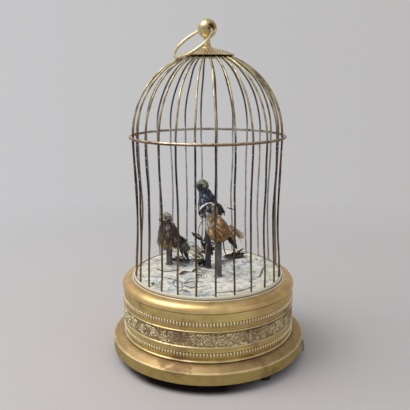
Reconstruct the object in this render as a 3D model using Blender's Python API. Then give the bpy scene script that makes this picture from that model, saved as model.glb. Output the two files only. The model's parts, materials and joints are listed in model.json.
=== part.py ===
"""Singing bird automaton.

A brass wire cage with three birds stands on a drum that holds the clockwork,
the bellows and the whistle. Lengths are in metres, +Z is up, and the origin is
at the middle of the floor under the object. Azimuths are in degrees, counted
from -Y towards +X.
"""
from math import acos, atan2, cos, degrees, hypot, pi, radians, sin, sqrt, tan

import bmesh
import bpy
from mathutils import Matrix, Vector

# Clearances
SEAT_GAP = 0.0003
RUNNING_GAP = 0.0003

# Fineness of the round shapes
ROUND_STEPS = 38
SMALL_STEPS = 13
PIN_STEPS = 10
HOLE_STEPS = 6

# Feet
FOOT_COUNT = 3
FOOT_INSET = 0.0090
FOOT_RADIUS = 0.0044
FOOT_FIRST_AZIMUTH = 16.0
FOOT_STUD_RADIUS = 0.0015

# Plinth
PLINTH_RADIUS = 0.0800
PLINTH_RIM_BOTTOM = 0.0073
PLINTH_RIM_HEIGHT = 0.0093
PLINTH_TOP_RISE = 0.0036
PLINTH_WALL = 0.0012
PLINTH_FLANGE_WIDTH = 0.0055

# Bottom plate
BOTTOM_PLATE_THICKNESS = 0.0012
BOTTOM_PLATE_RECESS = 0.0037

# Drum band
BAND_RADIUS = 0.0703
BAND_HEIGHT = 0.0381
BAND_WALL = 0.0012
BAND_LINE_PROUD = 0.0009
BAND_BEAD_PROUD = 0.0005

# Shoulder moulding
SHOULDER_WIDTH = 0.0084
SHOULDER_HEIGHT = 0.0062
SHOULDER_OVERHANG = 0.0011
SHOULDER_WALL = 0.0010
SHOULDER_SHADOW = 0.0013
LIP_WIDTH = 0.0009
FLANGE_DEPTH = 0.0027
FLANGE_THICKNESS = 0.0010
FLANGE_WIDTH = 0.0056

# Ground tray
TRAY_PROUD = 0.0029
TRAY_THICKNESS = 0.0008
TRAY_ROLL = 0.0009

# Cage
BAR_COUNT = 26
BAR_PHASE = -2.65
BAR_RADIUS = 0.00076
BAR_FOOT_INSET = 0.0020
WAIST_DRAW = 0.0020
WAIST_RISE = 0.0490
BAR_LOWER_POINTS = 4
BAR_DOME_POINTS = 5
CAGE_WALL_HEIGHT = 0.1122
HOOP_DRAW = 0.0003
HOOP_THICKNESS = 0.0018
HOOP_DEPTH = 0.0023
DOME_RISE = 0.0643
HAIRPIN_CIRCLE = 0.0110
HAIRPIN_BEND = 0.0013
FOOT_RING_WIDTH = 0.0022
FOOT_RING_DEPTH = 0.0022

# Crown
CAP_RADIUS = 0.0209
CAP_THICKNESS = 0.0007
CAP_RISE = 0.0052
CAP_SCALLOP = 0.0007
COLLAR_RADIUS = 0.0130
COLLAR_THICKNESS = 0.0012
FINIAL_FOOT_RADIUS = 0.0050
FINIAL_FOOT_HEIGHT = 0.0018
FINIAL_STEM_RADIUS = 0.0025
FINIAL_STEM_LENGTH = 0.01335
FINIAL_SCREW_RADIUS = 0.0016
BALL_RADIUS = 0.0074
RING_CIRCLE = 0.0170
RING_WIRE_RADIUS = 0.00105
BORE_AZIMUTH = 8.0

# Movement
MOVEMENT_MARGIN = 0.0040
MOVEMENT_PLATE_THICKNESS = 0.0012
PILLAR_LENGTH = 0.0278
PILLAR_COUNT = 3
PILLAR_INSET = 0.0050
PILLAR_RADIUS = 0.0030
PILLAR_FIRST_AZIMUTH = 75.0
PILLAR_TIP_RADIUS = 0.0015
BOSS_RADIUS = 0.0035
BOSS_INSET = 0.0140
PIVOT_RADIUS = 0.0008
ARBOR_RADIUS = 0.0015

GREAT_WHEEL_MODULE = 0.0011
GREAT_WHEEL_TEETH = 40
GREAT_WHEEL_THICKNESS = 0.0030
BARREL_STEP = 0.0015
BARREL_HEIGHT = 0.0150
BARREL_LIFT = 0.0018
WINDING_ARBOR_RADIUS = 0.0026
RATCHET_RADIUS = 0.0120
RATCHET_TEETH = 24
RATCHET_TOOTH_DEPTH = 0.0012
RATCHET_THICKNESS = 0.0018
RATCHET_PLAY = 0.0011

CAM_PINION_TEETH = 10
CAM_WHEEL_MODULE = 0.0009
CAM_WHEEL_TEETH = 32
CAM_WHEEL_THICKNESS = 0.0015
CAM_RADIUS = 0.0058
CAM_THICKNESS = 0.0030
CAM_LOBES = 5
CAM_LOBE_DEPTH = 0.0009
CAM_AZIMUTH = 0.0

FLY_PINION_TEETH = 8
FLY_DIRECTION = -20.0
FLY_PINION_CLEARANCE = 0.0019
FLY_VANE_RADIUS = 0.0100
FLY_VANE_HEIGHT = 0.0130
FLY_VANE_THICKNESS = 0.0010

# Key, click and stop lever
KEY_BARREL_RADIUS = 0.0046
KEY_LENGTH = 0.0104
KEY_WING_SPAN = 0.0300
KEY_WING_HEIGHT = 0.0080
KEY_WING_THICKNESS = 0.0022
KEY_SOCKET_DEPTH = 0.0048
CLICK_PIVOT_SIDE = 0.0030
CLICK_PIVOT_BACK = 0.0005
CLICK_PIVOT_RADIUS = 0.0022
CLICK_ARM_WIDTH = 0.0020
LEVER_AZIMUTH = 55.0
LEVER_REACH = 0.0019
LEVER_PIVOT_INSET = 0.0150
LEVER_THICKNESS = 0.0014
LEVER_WIDTH = 0.0044
LEVER_TAB_HEIGHT = 0.0085
LEVER_TAB_THICKNESS = 0.0011
LEVER_SWING = 12.0
LEVER_FINGER_RADIUS = 0.0010
LEVER_FINGER_RISE = 0.0120

# Bellows and whistle
BELLOWS_LENGTH = 0.0400
BELLOWS_WIDTH = 0.0200
BELLOWS_CLEARANCE = 0.0021
BELLOWS_BOARD = 0.0012
BELLOWS_REST_OPENING = 3.0
BELLOWS_MARGIN = 0.0014
WHISTLE_RADIUS = 0.0040
WHISTLE_BORE = 0.0026
WHISTLE_LENGTH = 0.0360
WHISTLE_CLEARANCE = 0.0077
WHISTLE_LEFT = -0.0220
PISTON_LENGTH = 0.0260
PISTON_REST_DEPTH = 0.0140
PISTON_KNOB_RADIUS = 0.0036
PISTON_KNOB_LENGTH = 0.0030

# Rocker and push rods
ROCKER_X = 0.0300
ROCKER_THICKNESS = 0.0012
ROCKER_RISE = 0.0042
ROCKER_ARM_WIDTH = 0.0044
ROCKER_SPINE_WIDTH = 0.0060
ROCKER_AXLE_RADIUS = 0.0012
ROCKER_EAR_THICKNESS = 0.0016
ROD_RADIUS = 0.0006
ROD_CLEARANCE = 0.0004

# Birds
POST_RADIUS = 0.0026
POST_TENON_RADIUS = 0.0019
POST_TENON_LENGTH = 0.0045
BODY_LENGTH = 0.0265
BODY_RADIUS = 0.0086
BODY_RISE = 0.0125
NECK_RADIUS = 0.0034
NECK_PIN_RADIUS = 0.0010
NECK_PIN_LENGTH = 0.0030
HEAD_RADIUS = 0.0049
HEAD_RISE = 0.0262
HEAD_FLAT = 0.0034
BEAK_LENGTH = 0.0058
BEAK_RADIUS = 0.0014
BEAK_HINGE_RADIUS = 0.0006
BEAK_WIDTH = 0.0018
TAIL_LENGTH = 0.0200
TAIL_HINGE_RADIUS = 0.0012
TAIL_ROOT_WIDTH = 0.0050
TAIL_TIP_WIDTH = 0.0085
TAIL_TIP_THICKNESS = 0.0010
TAIL_SWING = 12.0
BEAK_SWING = 16.0
ROD_BODY_DEPTH = 0.0055
ROD_HEADROOM = 0.0030

# Each bird: name, post x, post y, post length, heading azimuth, lean, head forward, tail slope,
# body colour, head colour
BIRDS = (
    ("brown_bird", -0.0255, 0.0258, 0.0148, -87.0, 12.0, 0.0020, 36.0,
     (0.16, 0.10, 0.07), (0.20, 0.15, 0.11)),
    ("tawny_bird", 0.0020, -0.0181, 0.0288, -102.0, 34.0, 0.0062, 30.0,
     (0.55, 0.26, 0.06), (0.42, 0.38, 0.28)),
    ("blue_bird", 0.0029, 0.0069, 0.0444, -102.0, 16.0, 0.0036, 48.0,
     (0.05, 0.08, 0.13), (0.17, 0.16, 0.07)),
)

# Colours
BRASS = (0.55, 0.40, 0.17)
OLIVE_BRASS = (0.44, 0.34, 0.14)
DARK_BRASS = (0.30, 0.21, 0.10)
STEEL = (0.42, 0.42, 0.44)
DARK_FOOT = (0.03, 0.03, 0.03)
PAINTED_GREY = (0.62, 0.63, 0.58)
POST_GREY = (0.17, 0.18, 0.18)
LEATHER = (0.60, 0.50, 0.36)
WOOD = (0.36, 0.22, 0.11)
BEAK_BLACK = (0.03, 0.03, 0.03)

# Heights and radii worked out from the sizes above
PLINTH_RIM_TOP = PLINTH_RIM_BOTTOM + PLINTH_RIM_HEIGHT
PLINTH_TOP = PLINTH_RIM_TOP + PLINTH_TOP_RISE
PLINTH_TOP_RADIUS = BAND_RADIUS + BAND_WALL
PLINTH_FLANGE_RADIUS = PLINTH_TOP_RADIUS - PLINTH_FLANGE_WIDTH
FOOT_CIRCLE = PLINTH_RADIUS - FOOT_INSET
BOTTOM_PLATE_HEIGHT = PLINTH_RIM_TOP - BOTTOM_PLATE_RECESS
BOTTOM_PLATE_TOP = BOTTOM_PLATE_HEIGHT + BOTTOM_PLATE_THICKNESS

BAND_BOTTOM = PLINTH_TOP + SEAT_GAP
BAND_TOP = BAND_BOTTOM + BAND_HEIGHT
BAND_INNER = BAND_RADIUS - BAND_WALL
BAND_NECK_RADIUS = BAND_RADIUS - 0.75 * BAND_WALL
SHOULDER_BOTTOM = BAND_TOP + SHOULDER_SHADOW
SHOULDER_RADIUS = BAND_RADIUS + SHOULDER_OVERHANG
SHOULDER_TOP = SHOULDER_BOTTOM + SHOULDER_HEIGHT
LIP_RADIUS = SHOULDER_RADIUS - SHOULDER_WIDTH
LIP_INNER = LIP_RADIUS - LIP_WIDTH
FLANGE_TOP = SHOULDER_TOP - FLANGE_DEPTH
FLANGE_INNER = LIP_INNER - FLANGE_WIDTH

TRAY_RADIUS = LIP_INNER - RUNNING_GAP
TRAY_HEIGHT = SHOULDER_TOP + TRAY_PROUD
TRAY_UNDERSIDE = TRAY_HEIGHT - TRAY_THICKNESS
TRAY_SKIRT_BOTTOM = FLANGE_TOP + SEAT_GAP
FOOT_RING_BOTTOM = FLANGE_TOP + SEAT_GAP
FOOT_RING_TOP = FOOT_RING_BOTTOM + FOOT_RING_DEPTH

BAR_PITCH = 360.0 / BAR_COUNT
BAR_FOOT_HEIGHT = FOOT_RING_TOP + SEAT_GAP
BAR_FOOT_CIRCLE = TRAY_RADIUS - BAR_FOOT_INSET
BAR_WAIST_CIRCLE = BAR_FOOT_CIRCLE - WAIST_DRAW
BAR_WAIST_HEIGHT = TRAY_HEIGHT + WAIST_RISE
HOOP_CIRCLE = BAR_FOOT_CIRCLE - HOOP_DRAW
HOOP_HEIGHT = TRAY_HEIGHT + CAGE_WALL_HEIGHT
HOOP_INNER = (HOOP_CIRCLE + BAR_RADIUS + SEAT_GAP) / cos(pi / ROUND_STEPS)

MOVEMENT_RADIUS = PLINTH_FLANGE_RADIUS - MOVEMENT_MARGIN
PILLAR_CIRCLE = MOVEMENT_RADIUS - PILLAR_INSET
BOSS_CIRCLE = MOVEMENT_RADIUS - BOSS_INSET
LOWER_PLATE_HEIGHT = BOTTOM_PLATE_TOP + RATCHET_THICKNESS + RATCHET_PLAY
LOWER_PLATE_TOP = LOWER_PLATE_HEIGHT + MOVEMENT_PLATE_THICKNESS
UPPER_PLATE_HEIGHT = LOWER_PLATE_TOP + PILLAR_LENGTH
UPPER_PLATE_TOP = UPPER_PLATE_HEIGHT + MOVEMENT_PLATE_THICKNESS
PIVOT_BOTTOM = LOWER_PLATE_HEIGHT + SEAT_GAP
PIVOT_TOP = UPPER_PLATE_TOP - SEAT_GAP
SHOULDER_OF_ARBOR_BOTTOM = LOWER_PLATE_TOP + RUNNING_GAP
SHOULDER_OF_ARBOR_TOP = UPPER_PLATE_HEIGHT - RUNNING_GAP

GREAT_WHEEL_RADIUS = GREAT_WHEEL_MODULE * GREAT_WHEEL_TEETH / 2
BARREL_RADIUS = GREAT_WHEEL_RADIUS - BARREL_STEP
CAM_PINION_RADIUS = GREAT_WHEEL_MODULE * CAM_PINION_TEETH / 2
CAM_WHEEL_RADIUS = CAM_WHEEL_MODULE * CAM_WHEEL_TEETH / 2
FLY_PINION_RADIUS = CAM_WHEEL_MODULE * FLY_PINION_TEETH / 2
WHEEL_BOTTOM = LOWER_PLATE_TOP + BARREL_LIFT
WHEEL_TOP = WHEEL_BOTTOM + GREAT_WHEEL_THICKNESS
BARREL_TOP = WHEEL_TOP + BARREL_HEIGHT
CAM_WHEEL_BOTTOM = BARREL_TOP + 2 * RUNNING_GAP
CAM_WHEEL_TOP = CAM_WHEEL_BOTTOM + CAM_WHEEL_THICKNESS
CLICK_PIVOT_X = RATCHET_RADIUS + CLICK_PIVOT_SIDE
CLICK_PIVOT_Y = -RATCHET_RADIUS - CLICK_PIVOT_BACK
KEY_TOP = BOTTOM_PLATE_HEIGHT - RUNNING_GAP
KEY_BOTTOM = KEY_TOP - KEY_LENGTH
LEVER_PIVOT_CIRCLE = PLINTH_RADIUS - LEVER_PIVOT_INSET

ROCKER_HEIGHT = UPPER_PLATE_TOP + ROCKER_RISE
ROCKER_TOP = ROCKER_HEIGHT + ROCKER_THICKNESS
ROCKER_AXLE_HEIGHT = ROCKER_HEIGHT + ROCKER_THICKNESS / 2
ROCKER_LOW_END = min(bird[2] for bird in BIRDS) - ROCKER_ARM_WIDTH / 2
ROCKER_HIGH_END = max(bird[2] for bird in BIRDS) + ROCKER_ARM_WIDTH / 2
ROD_BOTTOM = ROCKER_TOP + SEAT_GAP
POST_BORE = ROD_RADIUS + ROD_CLEARANCE
BELLOWS_Y = ROCKER_HIGH_END + SEAT_GAP + ROCKER_EAR_THICKNESS + BELLOWS_CLEARANCE + BELLOWS_WIDTH / 2


def polar(radius, azimuth):
    """Point on a circle, the azimuth counted from -Y towards +X."""
    angle = radians(azimuth)
    return Vector((radius * sin(angle), -radius * cos(angle), 0.0))


def dome_height(radius):
    """Height of the bars' centre line over the hoop, an ellipse."""
    return HOOP_HEIGHT + DOME_RISE * sqrt(1.0 - (radius / HOOP_CIRCLE) ** 2)


def dome_slope(radius):
    """Steepness of the dome there, as rise over run."""
    share = radius / HOOP_CIRCLE
    return DOME_RISE / HOOP_CIRCLE * share / sqrt(1.0 - share ** 2)


def over_bars(radius, clearance):
    """Height of a surface that clears the bars' tops."""
    return dome_height(radius) + (BAR_RADIUS + clearance) * hypot(1.0, dome_slope(radius))


CAM_CENTRE = polar(GREAT_WHEEL_RADIUS + CAM_PINION_RADIUS, CAM_AZIMUTH)
FLY_CENTRE = CAM_CENTRE + Matrix.Rotation(radians(FLY_DIRECTION), 3, "Z") @ Vector(
    (CAM_WHEEL_RADIUS + FLY_PINION_RADIUS + FLY_PINION_CLEARANCE, 0.0, 0.0))
LEVER_PIVOT = polar(LEVER_PIVOT_CIRCLE, LEVER_AZIMUTH)
WHISTLE_Y = CAM_CENTRE.y - CAM_RADIUS - WHISTLE_RADIUS - WHISTLE_CLEARANCE


def clear_scene():
    for item in list(bpy.data.objects):
        bpy.data.objects.remove(item, do_unlink=True)


def finish(item, colour, roughness, metallic):
    """The piece's own Principled material."""
    material = bpy.data.materials.new(item.name + "_material")
    material.use_nodes = True
    shader = material.node_tree.nodes["Principled BSDF"]
    shader.inputs["Base Color"].default_value = (*colour, 1.0)
    shader.inputs["Roughness"].default_value = roughness
    shader.inputs["Metallic"].default_value = metallic
    material.diffuse_color = (*colour, 1.0)
    item.data.materials.append(material)


def new_object(name, bm, smooth=True):
    """Object from a bmesh, its faces pointing out."""
    bmesh.ops.remove_doubles(bm, verts=bm.verts, dist=0.000001)
    bmesh.ops.recalc_face_normals(bm, faces=bm.faces)
    mesh = bpy.data.meshes.new(name)
    bm.to_mesh(mesh)
    bm.free()
    if smooth:
        mesh.shade_smooth()
        mesh.set_sharp_from_angle(angle=radians(35.0))
    item = bpy.data.objects.new(name, mesh)
    bpy.context.scene.collection.objects.link(item)
    return item


def turned_mesh(profile, steps, closed):
    """Profile of (radius, height) points spun about Z. A closed one is a ring's section."""
    bm = bmesh.new()
    points = [bm.verts.new((r, 0.0, z)) for r, z in profile]
    edges = [bm.edges.new(pair) for pair in zip(points, points[1:])]
    if closed:
        edges.append(bm.edges.new((points[-1], points[0])))
    bmesh.ops.spin(bm, geom=points + edges, cent=(0, 0, 0), axis=(0, 0, 1),
                   angle=2 * pi, steps=steps, use_duplicate=False)
    return bm


def turned(name, profile, steps=ROUND_STEPS, closed=True, smooth=True):
    return new_object(name, turned_mesh(profile, steps, closed), smooth)


def prism_mesh(outline, bottom, top):
    """Outline of (x, y) points extruded along Z."""
    bm = bmesh.new()
    face = bm.faces.new([bm.verts.new((x, y, bottom)) for x, y in outline])
    raised = bmesh.ops.extrude_face_region(bm, geom=[face])
    moved = [v for v in raised["geom"] if isinstance(v, bmesh.types.BMVert)]
    bmesh.ops.translate(bm, verts=moved, vec=(0, 0, top - bottom))
    return bm


def prism(name, outline, bottom, top, smooth=False):
    return new_object(name, prism_mesh(outline, bottom, top), smooth)


def pin(name, radius, bottom, top, centre=(0.0, 0.0), steps=PIN_STEPS):
    """Upright round bar, for guides and cutters."""
    item = turned(name, [(0, bottom), (radius, bottom), (radius, top), (0, top)], steps, closed=False)
    item.location = (centre[0], centre[1], 0.0)
    return item


def as_guide(item):
    """A cutter or a shape that another piece takes up."""
    item.hide_render = True
    item.display_type = "WIRE"
    return item


def combine(item, guide, operation):
    modifier = item.modifiers.new(operation.lower(), "BOOLEAN")
    modifier.operation = operation
    modifier.solver = "EXACT"
    modifier.object = as_guide(guide)


def cut(item, guide):
    combine(item, guide, "DIFFERENCE")


def add(item, guide):
    combine(item, guide, "UNION")


def hole_guide(name, holes, bottom, top, steps=PIN_STEPS):
    """One cutter for several upright holes, each (x, y, radius). Their flats lie at the radius."""
    bm = bmesh.new()
    for x, y, radius in holes:
        corner = radius / cos(pi / steps)
        made = bmesh.ops.create_cone(bm, cap_ends=True, segments=steps, radius1=corner,
                                     radius2=corner, depth=top - bottom)
        bmesh.ops.translate(bm, verts=made["verts"], vec=(x, y, (top + bottom) / 2))
    return new_object(name, bm, smooth=False)


def tube(name, points, radius, resolution, cyclic=False):
    """Round wire along points, with closed ends."""
    curve = bpy.data.curves.new(name, "CURVE")
    curve.dimensions = "3D"
    curve.bevel_depth = radius
    curve.bevel_resolution = resolution
    curve.use_fill_caps = True
    spline = curve.splines.new("POLY")
    spline.points.add(len(points) - 1)
    for slot, point in zip(spline.points, points):
        slot.co = (*point, 1.0)
    spline.use_cyclic_u = cyclic
    item = bpy.data.objects.new(name, curve)
    bpy.context.scene.collection.objects.link(item)
    return item


def gear_outline(teeth, radius, module, phase):
    """Toothed outline, a tooth's middle at the angle phase, in degrees."""
    pitch = 2 * pi / teeth
    tip = radius + 0.8 * module
    root = radius - 1.05 * module
    points = []
    for index in range(teeth):
        middle = radians(phase) + index * pitch
        for share, length in ((-0.27, root), (-0.13, tip), (0.13, tip), (0.27, root)):
            angle = middle + share * pitch
            points.append((length * cos(angle), length * sin(angle)))
    return points


def ratchet_outline():
    """Saw teeth whose steep faces stop the arbor from running back."""
    pitch = 2 * pi / RATCHET_TEETH
    root = RATCHET_RADIUS - RATCHET_TOOTH_DEPTH
    points = []
    for index in range(RATCHET_TEETH):
        angle = index * pitch
        points.append((root * cos(angle), root * sin(angle)))
        points.append((RATCHET_RADIUS * cos(angle), RATCHET_RADIUS * sin(angle)))
    return points


def arc(cx, cy, radius, start, end, count):
    """Points on an arc, angles in degrees, both ends included."""
    angles = [radians(start + (end - start) * i / (count - 1)) for i in range(count)]
    return [(cx + radius * cos(a), cy + radius * sin(a)) for a in angles]


# Base

def make_plinth():
    edge = PLINTH_WALL / 2
    rise = PLINTH_TOP_RISE
    width = PLINTH_RADIUS - PLINTH_TOP_RADIUS
    inner = PLINTH_RADIUS - PLINTH_WALL
    profile = [
        (inner, PLINTH_RIM_BOTTOM),
        (PLINTH_RADIUS, PLINTH_RIM_BOTTOM),
        (PLINTH_RADIUS, PLINTH_RIM_TOP - edge),
        (PLINTH_RADIUS - edge, PLINTH_RIM_TOP + 0.1 * rise),
        (PLINTH_RADIUS - 0.30 * width, PLINTH_RIM_TOP + 0.42 * rise),
        (PLINTH_RADIUS - 0.62 * width, PLINTH_RIM_TOP + 0.78 * rise),
        (PLINTH_TOP_RADIUS, PLINTH_TOP),
        (PLINTH_FLANGE_RADIUS, PLINTH_TOP),
        (PLINTH_FLANGE_RADIUS, PLINTH_TOP - PLINTH_WALL),
        (PLINTH_TOP_RADIUS, PLINTH_TOP - PLINTH_WALL),
        (inner - 0.3 * width, PLINTH_RIM_TOP + 0.42 * rise - PLINTH_WALL),
        (inner, PLINTH_RIM_TOP - PLINTH_WALL),
    ]
    plinth = turned("plinth", profile)
    finish(plinth, BRASS, 0.32, 1.0)
    half = LEVER_WIDTH / 2 + RUNNING_GAP
    swing = PLINTH_RADIUS - LEVER_PIVOT_CIRCLE
    side = half + swing * tan(radians(LEVER_SWING))
    outline = [
        (LEVER_PIVOT_CIRCLE, -half), (PLINTH_RADIUS + LEVER_REACH, -half),
        (PLINTH_RADIUS + LEVER_REACH, side + RUNNING_GAP), (LEVER_PIVOT_CIRCLE, side + RUNNING_GAP)]
    slot = prism("lever_slot_guide", outline, lever_bottom() - RUNNING_GAP, lever_top() + RUNNING_GAP)
    slot.rotation_euler = (0, 0, radians(LEVER_AZIMUTH - 90.0))
    cut(plinth, slot)


def make_drum_band():
    line = BAND_RADIUS + BAND_LINE_PROUD
    bead = BAND_RADIUS + BAND_BEAD_PROUD
    panel = BAND_RADIUS + BAND_LINE_PROUD / 3
    step = BAND_LINE_PROUD / 2

    def at(share):
        return BAND_BOTTOM + share * BAND_HEIGHT

    (low_radius, low), (high_radius, high) = shoulder_underside()[:2]
    share = (low_radius - BAND_NECK_RADIUS) / (low_radius - high_radius)
    neck_top = low + share * (high - low) - 2 * SEAT_GAP
    profile = [
        (BAND_INNER, BAND_BOTTOM), (BAND_RADIUS, BAND_BOTTOM),
        (BAND_RADIUS, at(0.09)), (bead, at(0.12)), (bead, at(0.20)), (BAND_RADIUS, at(0.23)),
        (BAND_RADIUS, at(0.30)), (line, at(0.30) + step), (line, at(0.33)), (panel, at(0.33) + step),
        (panel, at(0.62)), (line, at(0.62) + step), (line, at(0.65) + step), (BAND_RADIUS, at(0.68)),
        (BAND_RADIUS, at(0.735)), (bead, at(0.76)), (bead, at(0.83)), (BAND_RADIUS, at(0.86)),
        (BAND_RADIUS, BAND_TOP), (BAND_NECK_RADIUS, BAND_TOP),
        (BAND_NECK_RADIUS, neck_top), (BAND_INNER, neck_top),
    ]
    finish(turned("drum_band", profile), OLIVE_BRASS, 0.38, 1.0)


def shoulder_underside():
    """The moulding's inner face, from its lower edge inwards."""
    width = SHOULDER_WIDTH - SHOULDER_WALL
    height = SHOULDER_HEIGHT - 1.2 * SHOULDER_WALL
    angles = (radians(0.0), radians(38.0), radians(68.0))
    return [(LIP_RADIUS + width * cos(angle), SHOULDER_BOTTOM + height * sin(angle)) for angle in angles]


def make_shoulder():
    bow_count = 5
    outer = []
    for index in range(bow_count + 1):
        angle = radians(90.0 * index / bow_count)
        outer.append((LIP_RADIUS + SHOULDER_WIDTH * cos(angle) ** 0.9,
                      SHOULDER_BOTTOM + SHOULDER_HEIGHT * sin(angle) ** 0.9))
    profile = outer + [
        (LIP_INNER, SHOULDER_TOP), (LIP_INNER, FLANGE_TOP), (FLANGE_INNER, FLANGE_TOP),
        (FLANGE_INNER, FLANGE_TOP - FLANGE_THICKNESS), (LIP_RADIUS, FLANGE_TOP - FLANGE_THICKNESS),
    ] + shoulder_underside()[::-1]
    finish(turned("shoulder_moulding", profile), BRASS, 0.28, 1.0)


def make_foot_ring():
    inner = BAR_FOOT_CIRCLE - FOOT_RING_WIDTH / 2
    outer = min(BAR_FOOT_CIRCLE + FOOT_RING_WIDTH / 2, TRAY_RADIUS - TRAY_THICKNESS - SEAT_GAP)
    profile = [(inner, FOOT_RING_BOTTOM), (outer, FOOT_RING_BOTTOM),
               (outer, FOOT_RING_TOP), (inner, FOOT_RING_TOP)]
    finish(turned("cage_foot_ring", profile), DARK_BRASS, 0.5, 1.0)


def make_tray():
    skirt = TRAY_RADIUS - TRAY_THICKNESS
    profile = [
        (0, TRAY_HEIGHT), (TRAY_RADIUS - TRAY_ROLL, TRAY_HEIGHT),
        (TRAY_RADIUS, TRAY_HEIGHT - TRAY_ROLL), (TRAY_RADIUS, TRAY_SKIRT_BOTTOM),
        (skirt, TRAY_SKIRT_BOTTOM), (skirt, TRAY_UNDERSIDE), (0, TRAY_UNDERSIDE)]
    tray = turned("ground_tray", profile, closed=False)
    finish(tray, PAINTED_GREY, 0.6, 0.0)
    holes = [(x, y, POST_TENON_RADIUS + SEAT_GAP) for _, x, y, *_ in BIRDS]
    for index in range(BAR_COUNT):
        spot = polar(BAR_FOOT_CIRCLE, BAR_PHASE + index * BAR_PITCH)
        holes.append((spot.x, spot.y, BAR_RADIUS + SEAT_GAP))
    cut(tray, hole_guide("tray_hole_guide", holes, TRAY_UNDERSIDE - TRAY_THICKNESS,
                         TRAY_HEIGHT + TRAY_THICKNESS, HOLE_STEPS))


def make_bottom_plate():
    radius = PLINTH_RADIUS - PLINTH_WALL - SEAT_GAP
    plate = turned("bottom_plate", [(0, BOTTOM_PLATE_TOP), (radius, BOTTOM_PLATE_TOP),
                                    (radius, BOTTOM_PLATE_HEIGHT), (0, BOTTOM_PLATE_HEIGHT)],
                   closed=False)
    finish(plate, STEEL, 0.45, 1.0)
    holes = [(0, 0, WINDING_ARBOR_RADIUS + RUNNING_GAP),
             (LEVER_PIVOT.x, LEVER_PIVOT.y, ARBOR_RADIUS + RUNNING_GAP)]
    for azimuth in foot_azimuths():
        spot = polar(FOOT_CIRCLE, azimuth)
        holes.append((spot.x, spot.y, FOOT_STUD_RADIUS + SEAT_GAP))
    below = BOTTOM_PLATE_HEIGHT - BOTTOM_PLATE_THICKNESS
    above = BOTTOM_PLATE_TOP + BOTTOM_PLATE_THICKNESS
    cut(plate, hole_guide("bottom_plate_hole_guide", holes, below, above))
    cut(plate, finger_slot("bottom_plate_slot_guide", below, above))


def foot_azimuths():
    return [FOOT_FIRST_AZIMUTH + index * 360.0 / FOOT_COUNT for index in range(FOOT_COUNT)]


def make_feet():
    top = BOTTOM_PLATE_HEIGHT - SEAT_GAP
    stud_top = BOTTOM_PLATE_TOP + BOTTOM_PLATE_THICKNESS
    profile = [(0, 0), (0.75 * FOOT_RADIUS, 0), (FOOT_RADIUS, 0.25 * FOOT_RADIUS),
               (FOOT_RADIUS, 0.55 * top), (0.8 * FOOT_RADIUS, 0.7 * top), (0.8 * FOOT_RADIUS, top),
               (FOOT_STUD_RADIUS, top), (FOOT_STUD_RADIUS, stud_top), (0, stud_top)]
    for index, azimuth in enumerate(foot_azimuths()):
        foot = turned("foot_%d" % (index + 1), profile, SMALL_STEPS, closed=False)
        foot.location = polar(FOOT_CIRCLE, azimuth)
        finish(foot, DARK_FOOT, 0.35, 0.0)


# Cage

def bar_circle(height):
    """Radius of the bars at a height under the hoop: drawn in at the waist."""
    if height > BAR_WAIST_HEIGHT:
        share = (height - BAR_WAIST_HEIGHT) / (HOOP_HEIGHT - BAR_WAIST_HEIGHT)
        end = HOOP_CIRCLE
    else:
        share = (BAR_WAIST_HEIGHT - height) / (BAR_WAIST_HEIGHT - BAR_FOOT_HEIGHT)
        end = BAR_FOOT_CIRCLE
    return BAR_WAIST_CIRCLE + (end - BAR_WAIST_CIRCLE) * (1.0 - cos(pi * min(share, 1.0))) / 2


def bar_points(azimuth):
    """Centre line of one bar, foot to crown."""
    points = []
    for index in range(BAR_LOWER_POINTS):
        height = BAR_FOOT_HEIGHT + (HOOP_HEIGHT - BAR_FOOT_HEIGHT) * index / BAR_LOWER_POINTS
        points.append(polar(bar_circle(height), azimuth) + Vector((0, 0, height)))
    last = acos(HAIRPIN_CIRCLE / HOOP_CIRCLE)
    for index in range(BAR_DOME_POINTS + 1):
        radius = HOOP_CIRCLE * cos(last * index / BAR_DOME_POINTS)
        points.append(polar(radius, azimuth) + Vector((0, 0, dome_height(radius))))
    return points


def make_cage_wires():
    """Each wire is two neighbouring bars, bent over near the crown."""
    for index in range(BAR_COUNT // 2):
        first = BAR_PHASE + 2 * index * BAR_PITCH
        bend = []
        for share in (0.2, 0.5, 0.8):
            radius = HAIRPIN_CIRCLE - HAIRPIN_BEND * sin(pi * share)
            spot = polar(radius, first + share * BAR_PITCH)
            bend.append(spot + Vector((0, 0, dome_height(radius))))
        path = bar_points(first) + bend + bar_points(first + BAR_PITCH)[::-1]
        wire = tube("cage_wire_%02d" % (index + 1), path, BAR_RADIUS, 1)
        finish(wire, DARK_BRASS if index % 2 else OLIVE_BRASS, 0.42, 1.0)


def make_hoop():
    middle = HOOP_INNER + HOOP_THICKNESS / 2
    section = []
    for index in range(6):
        angle = pi * (index + 0.5) / 3
        section.append((middle + HOOP_THICKNESS / 2 * cos(angle) / cos(pi / 6),
                        HOOP_HEIGHT + HOOP_DEPTH / 2 * sin(angle)))
    finish(turned("cage_hoop", section), OLIVE_BRASS, 0.35, 1.0)


# Crown

def cap_underside(radius):
    return over_bars(radius, SEAT_GAP)


def finial_seat():
    """Height of the cap's flat top, on which the finial's foot stands."""
    return cap_underside(CAP_RADIUS) + CAP_RISE


def ball_height():
    """Height of the ball's centre, which is the axis of its cross bore."""
    return finial_seat() + SEAT_GAP + FINIAL_FOOT_HEIGHT + FINIAL_STEM_LENGTH


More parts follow.
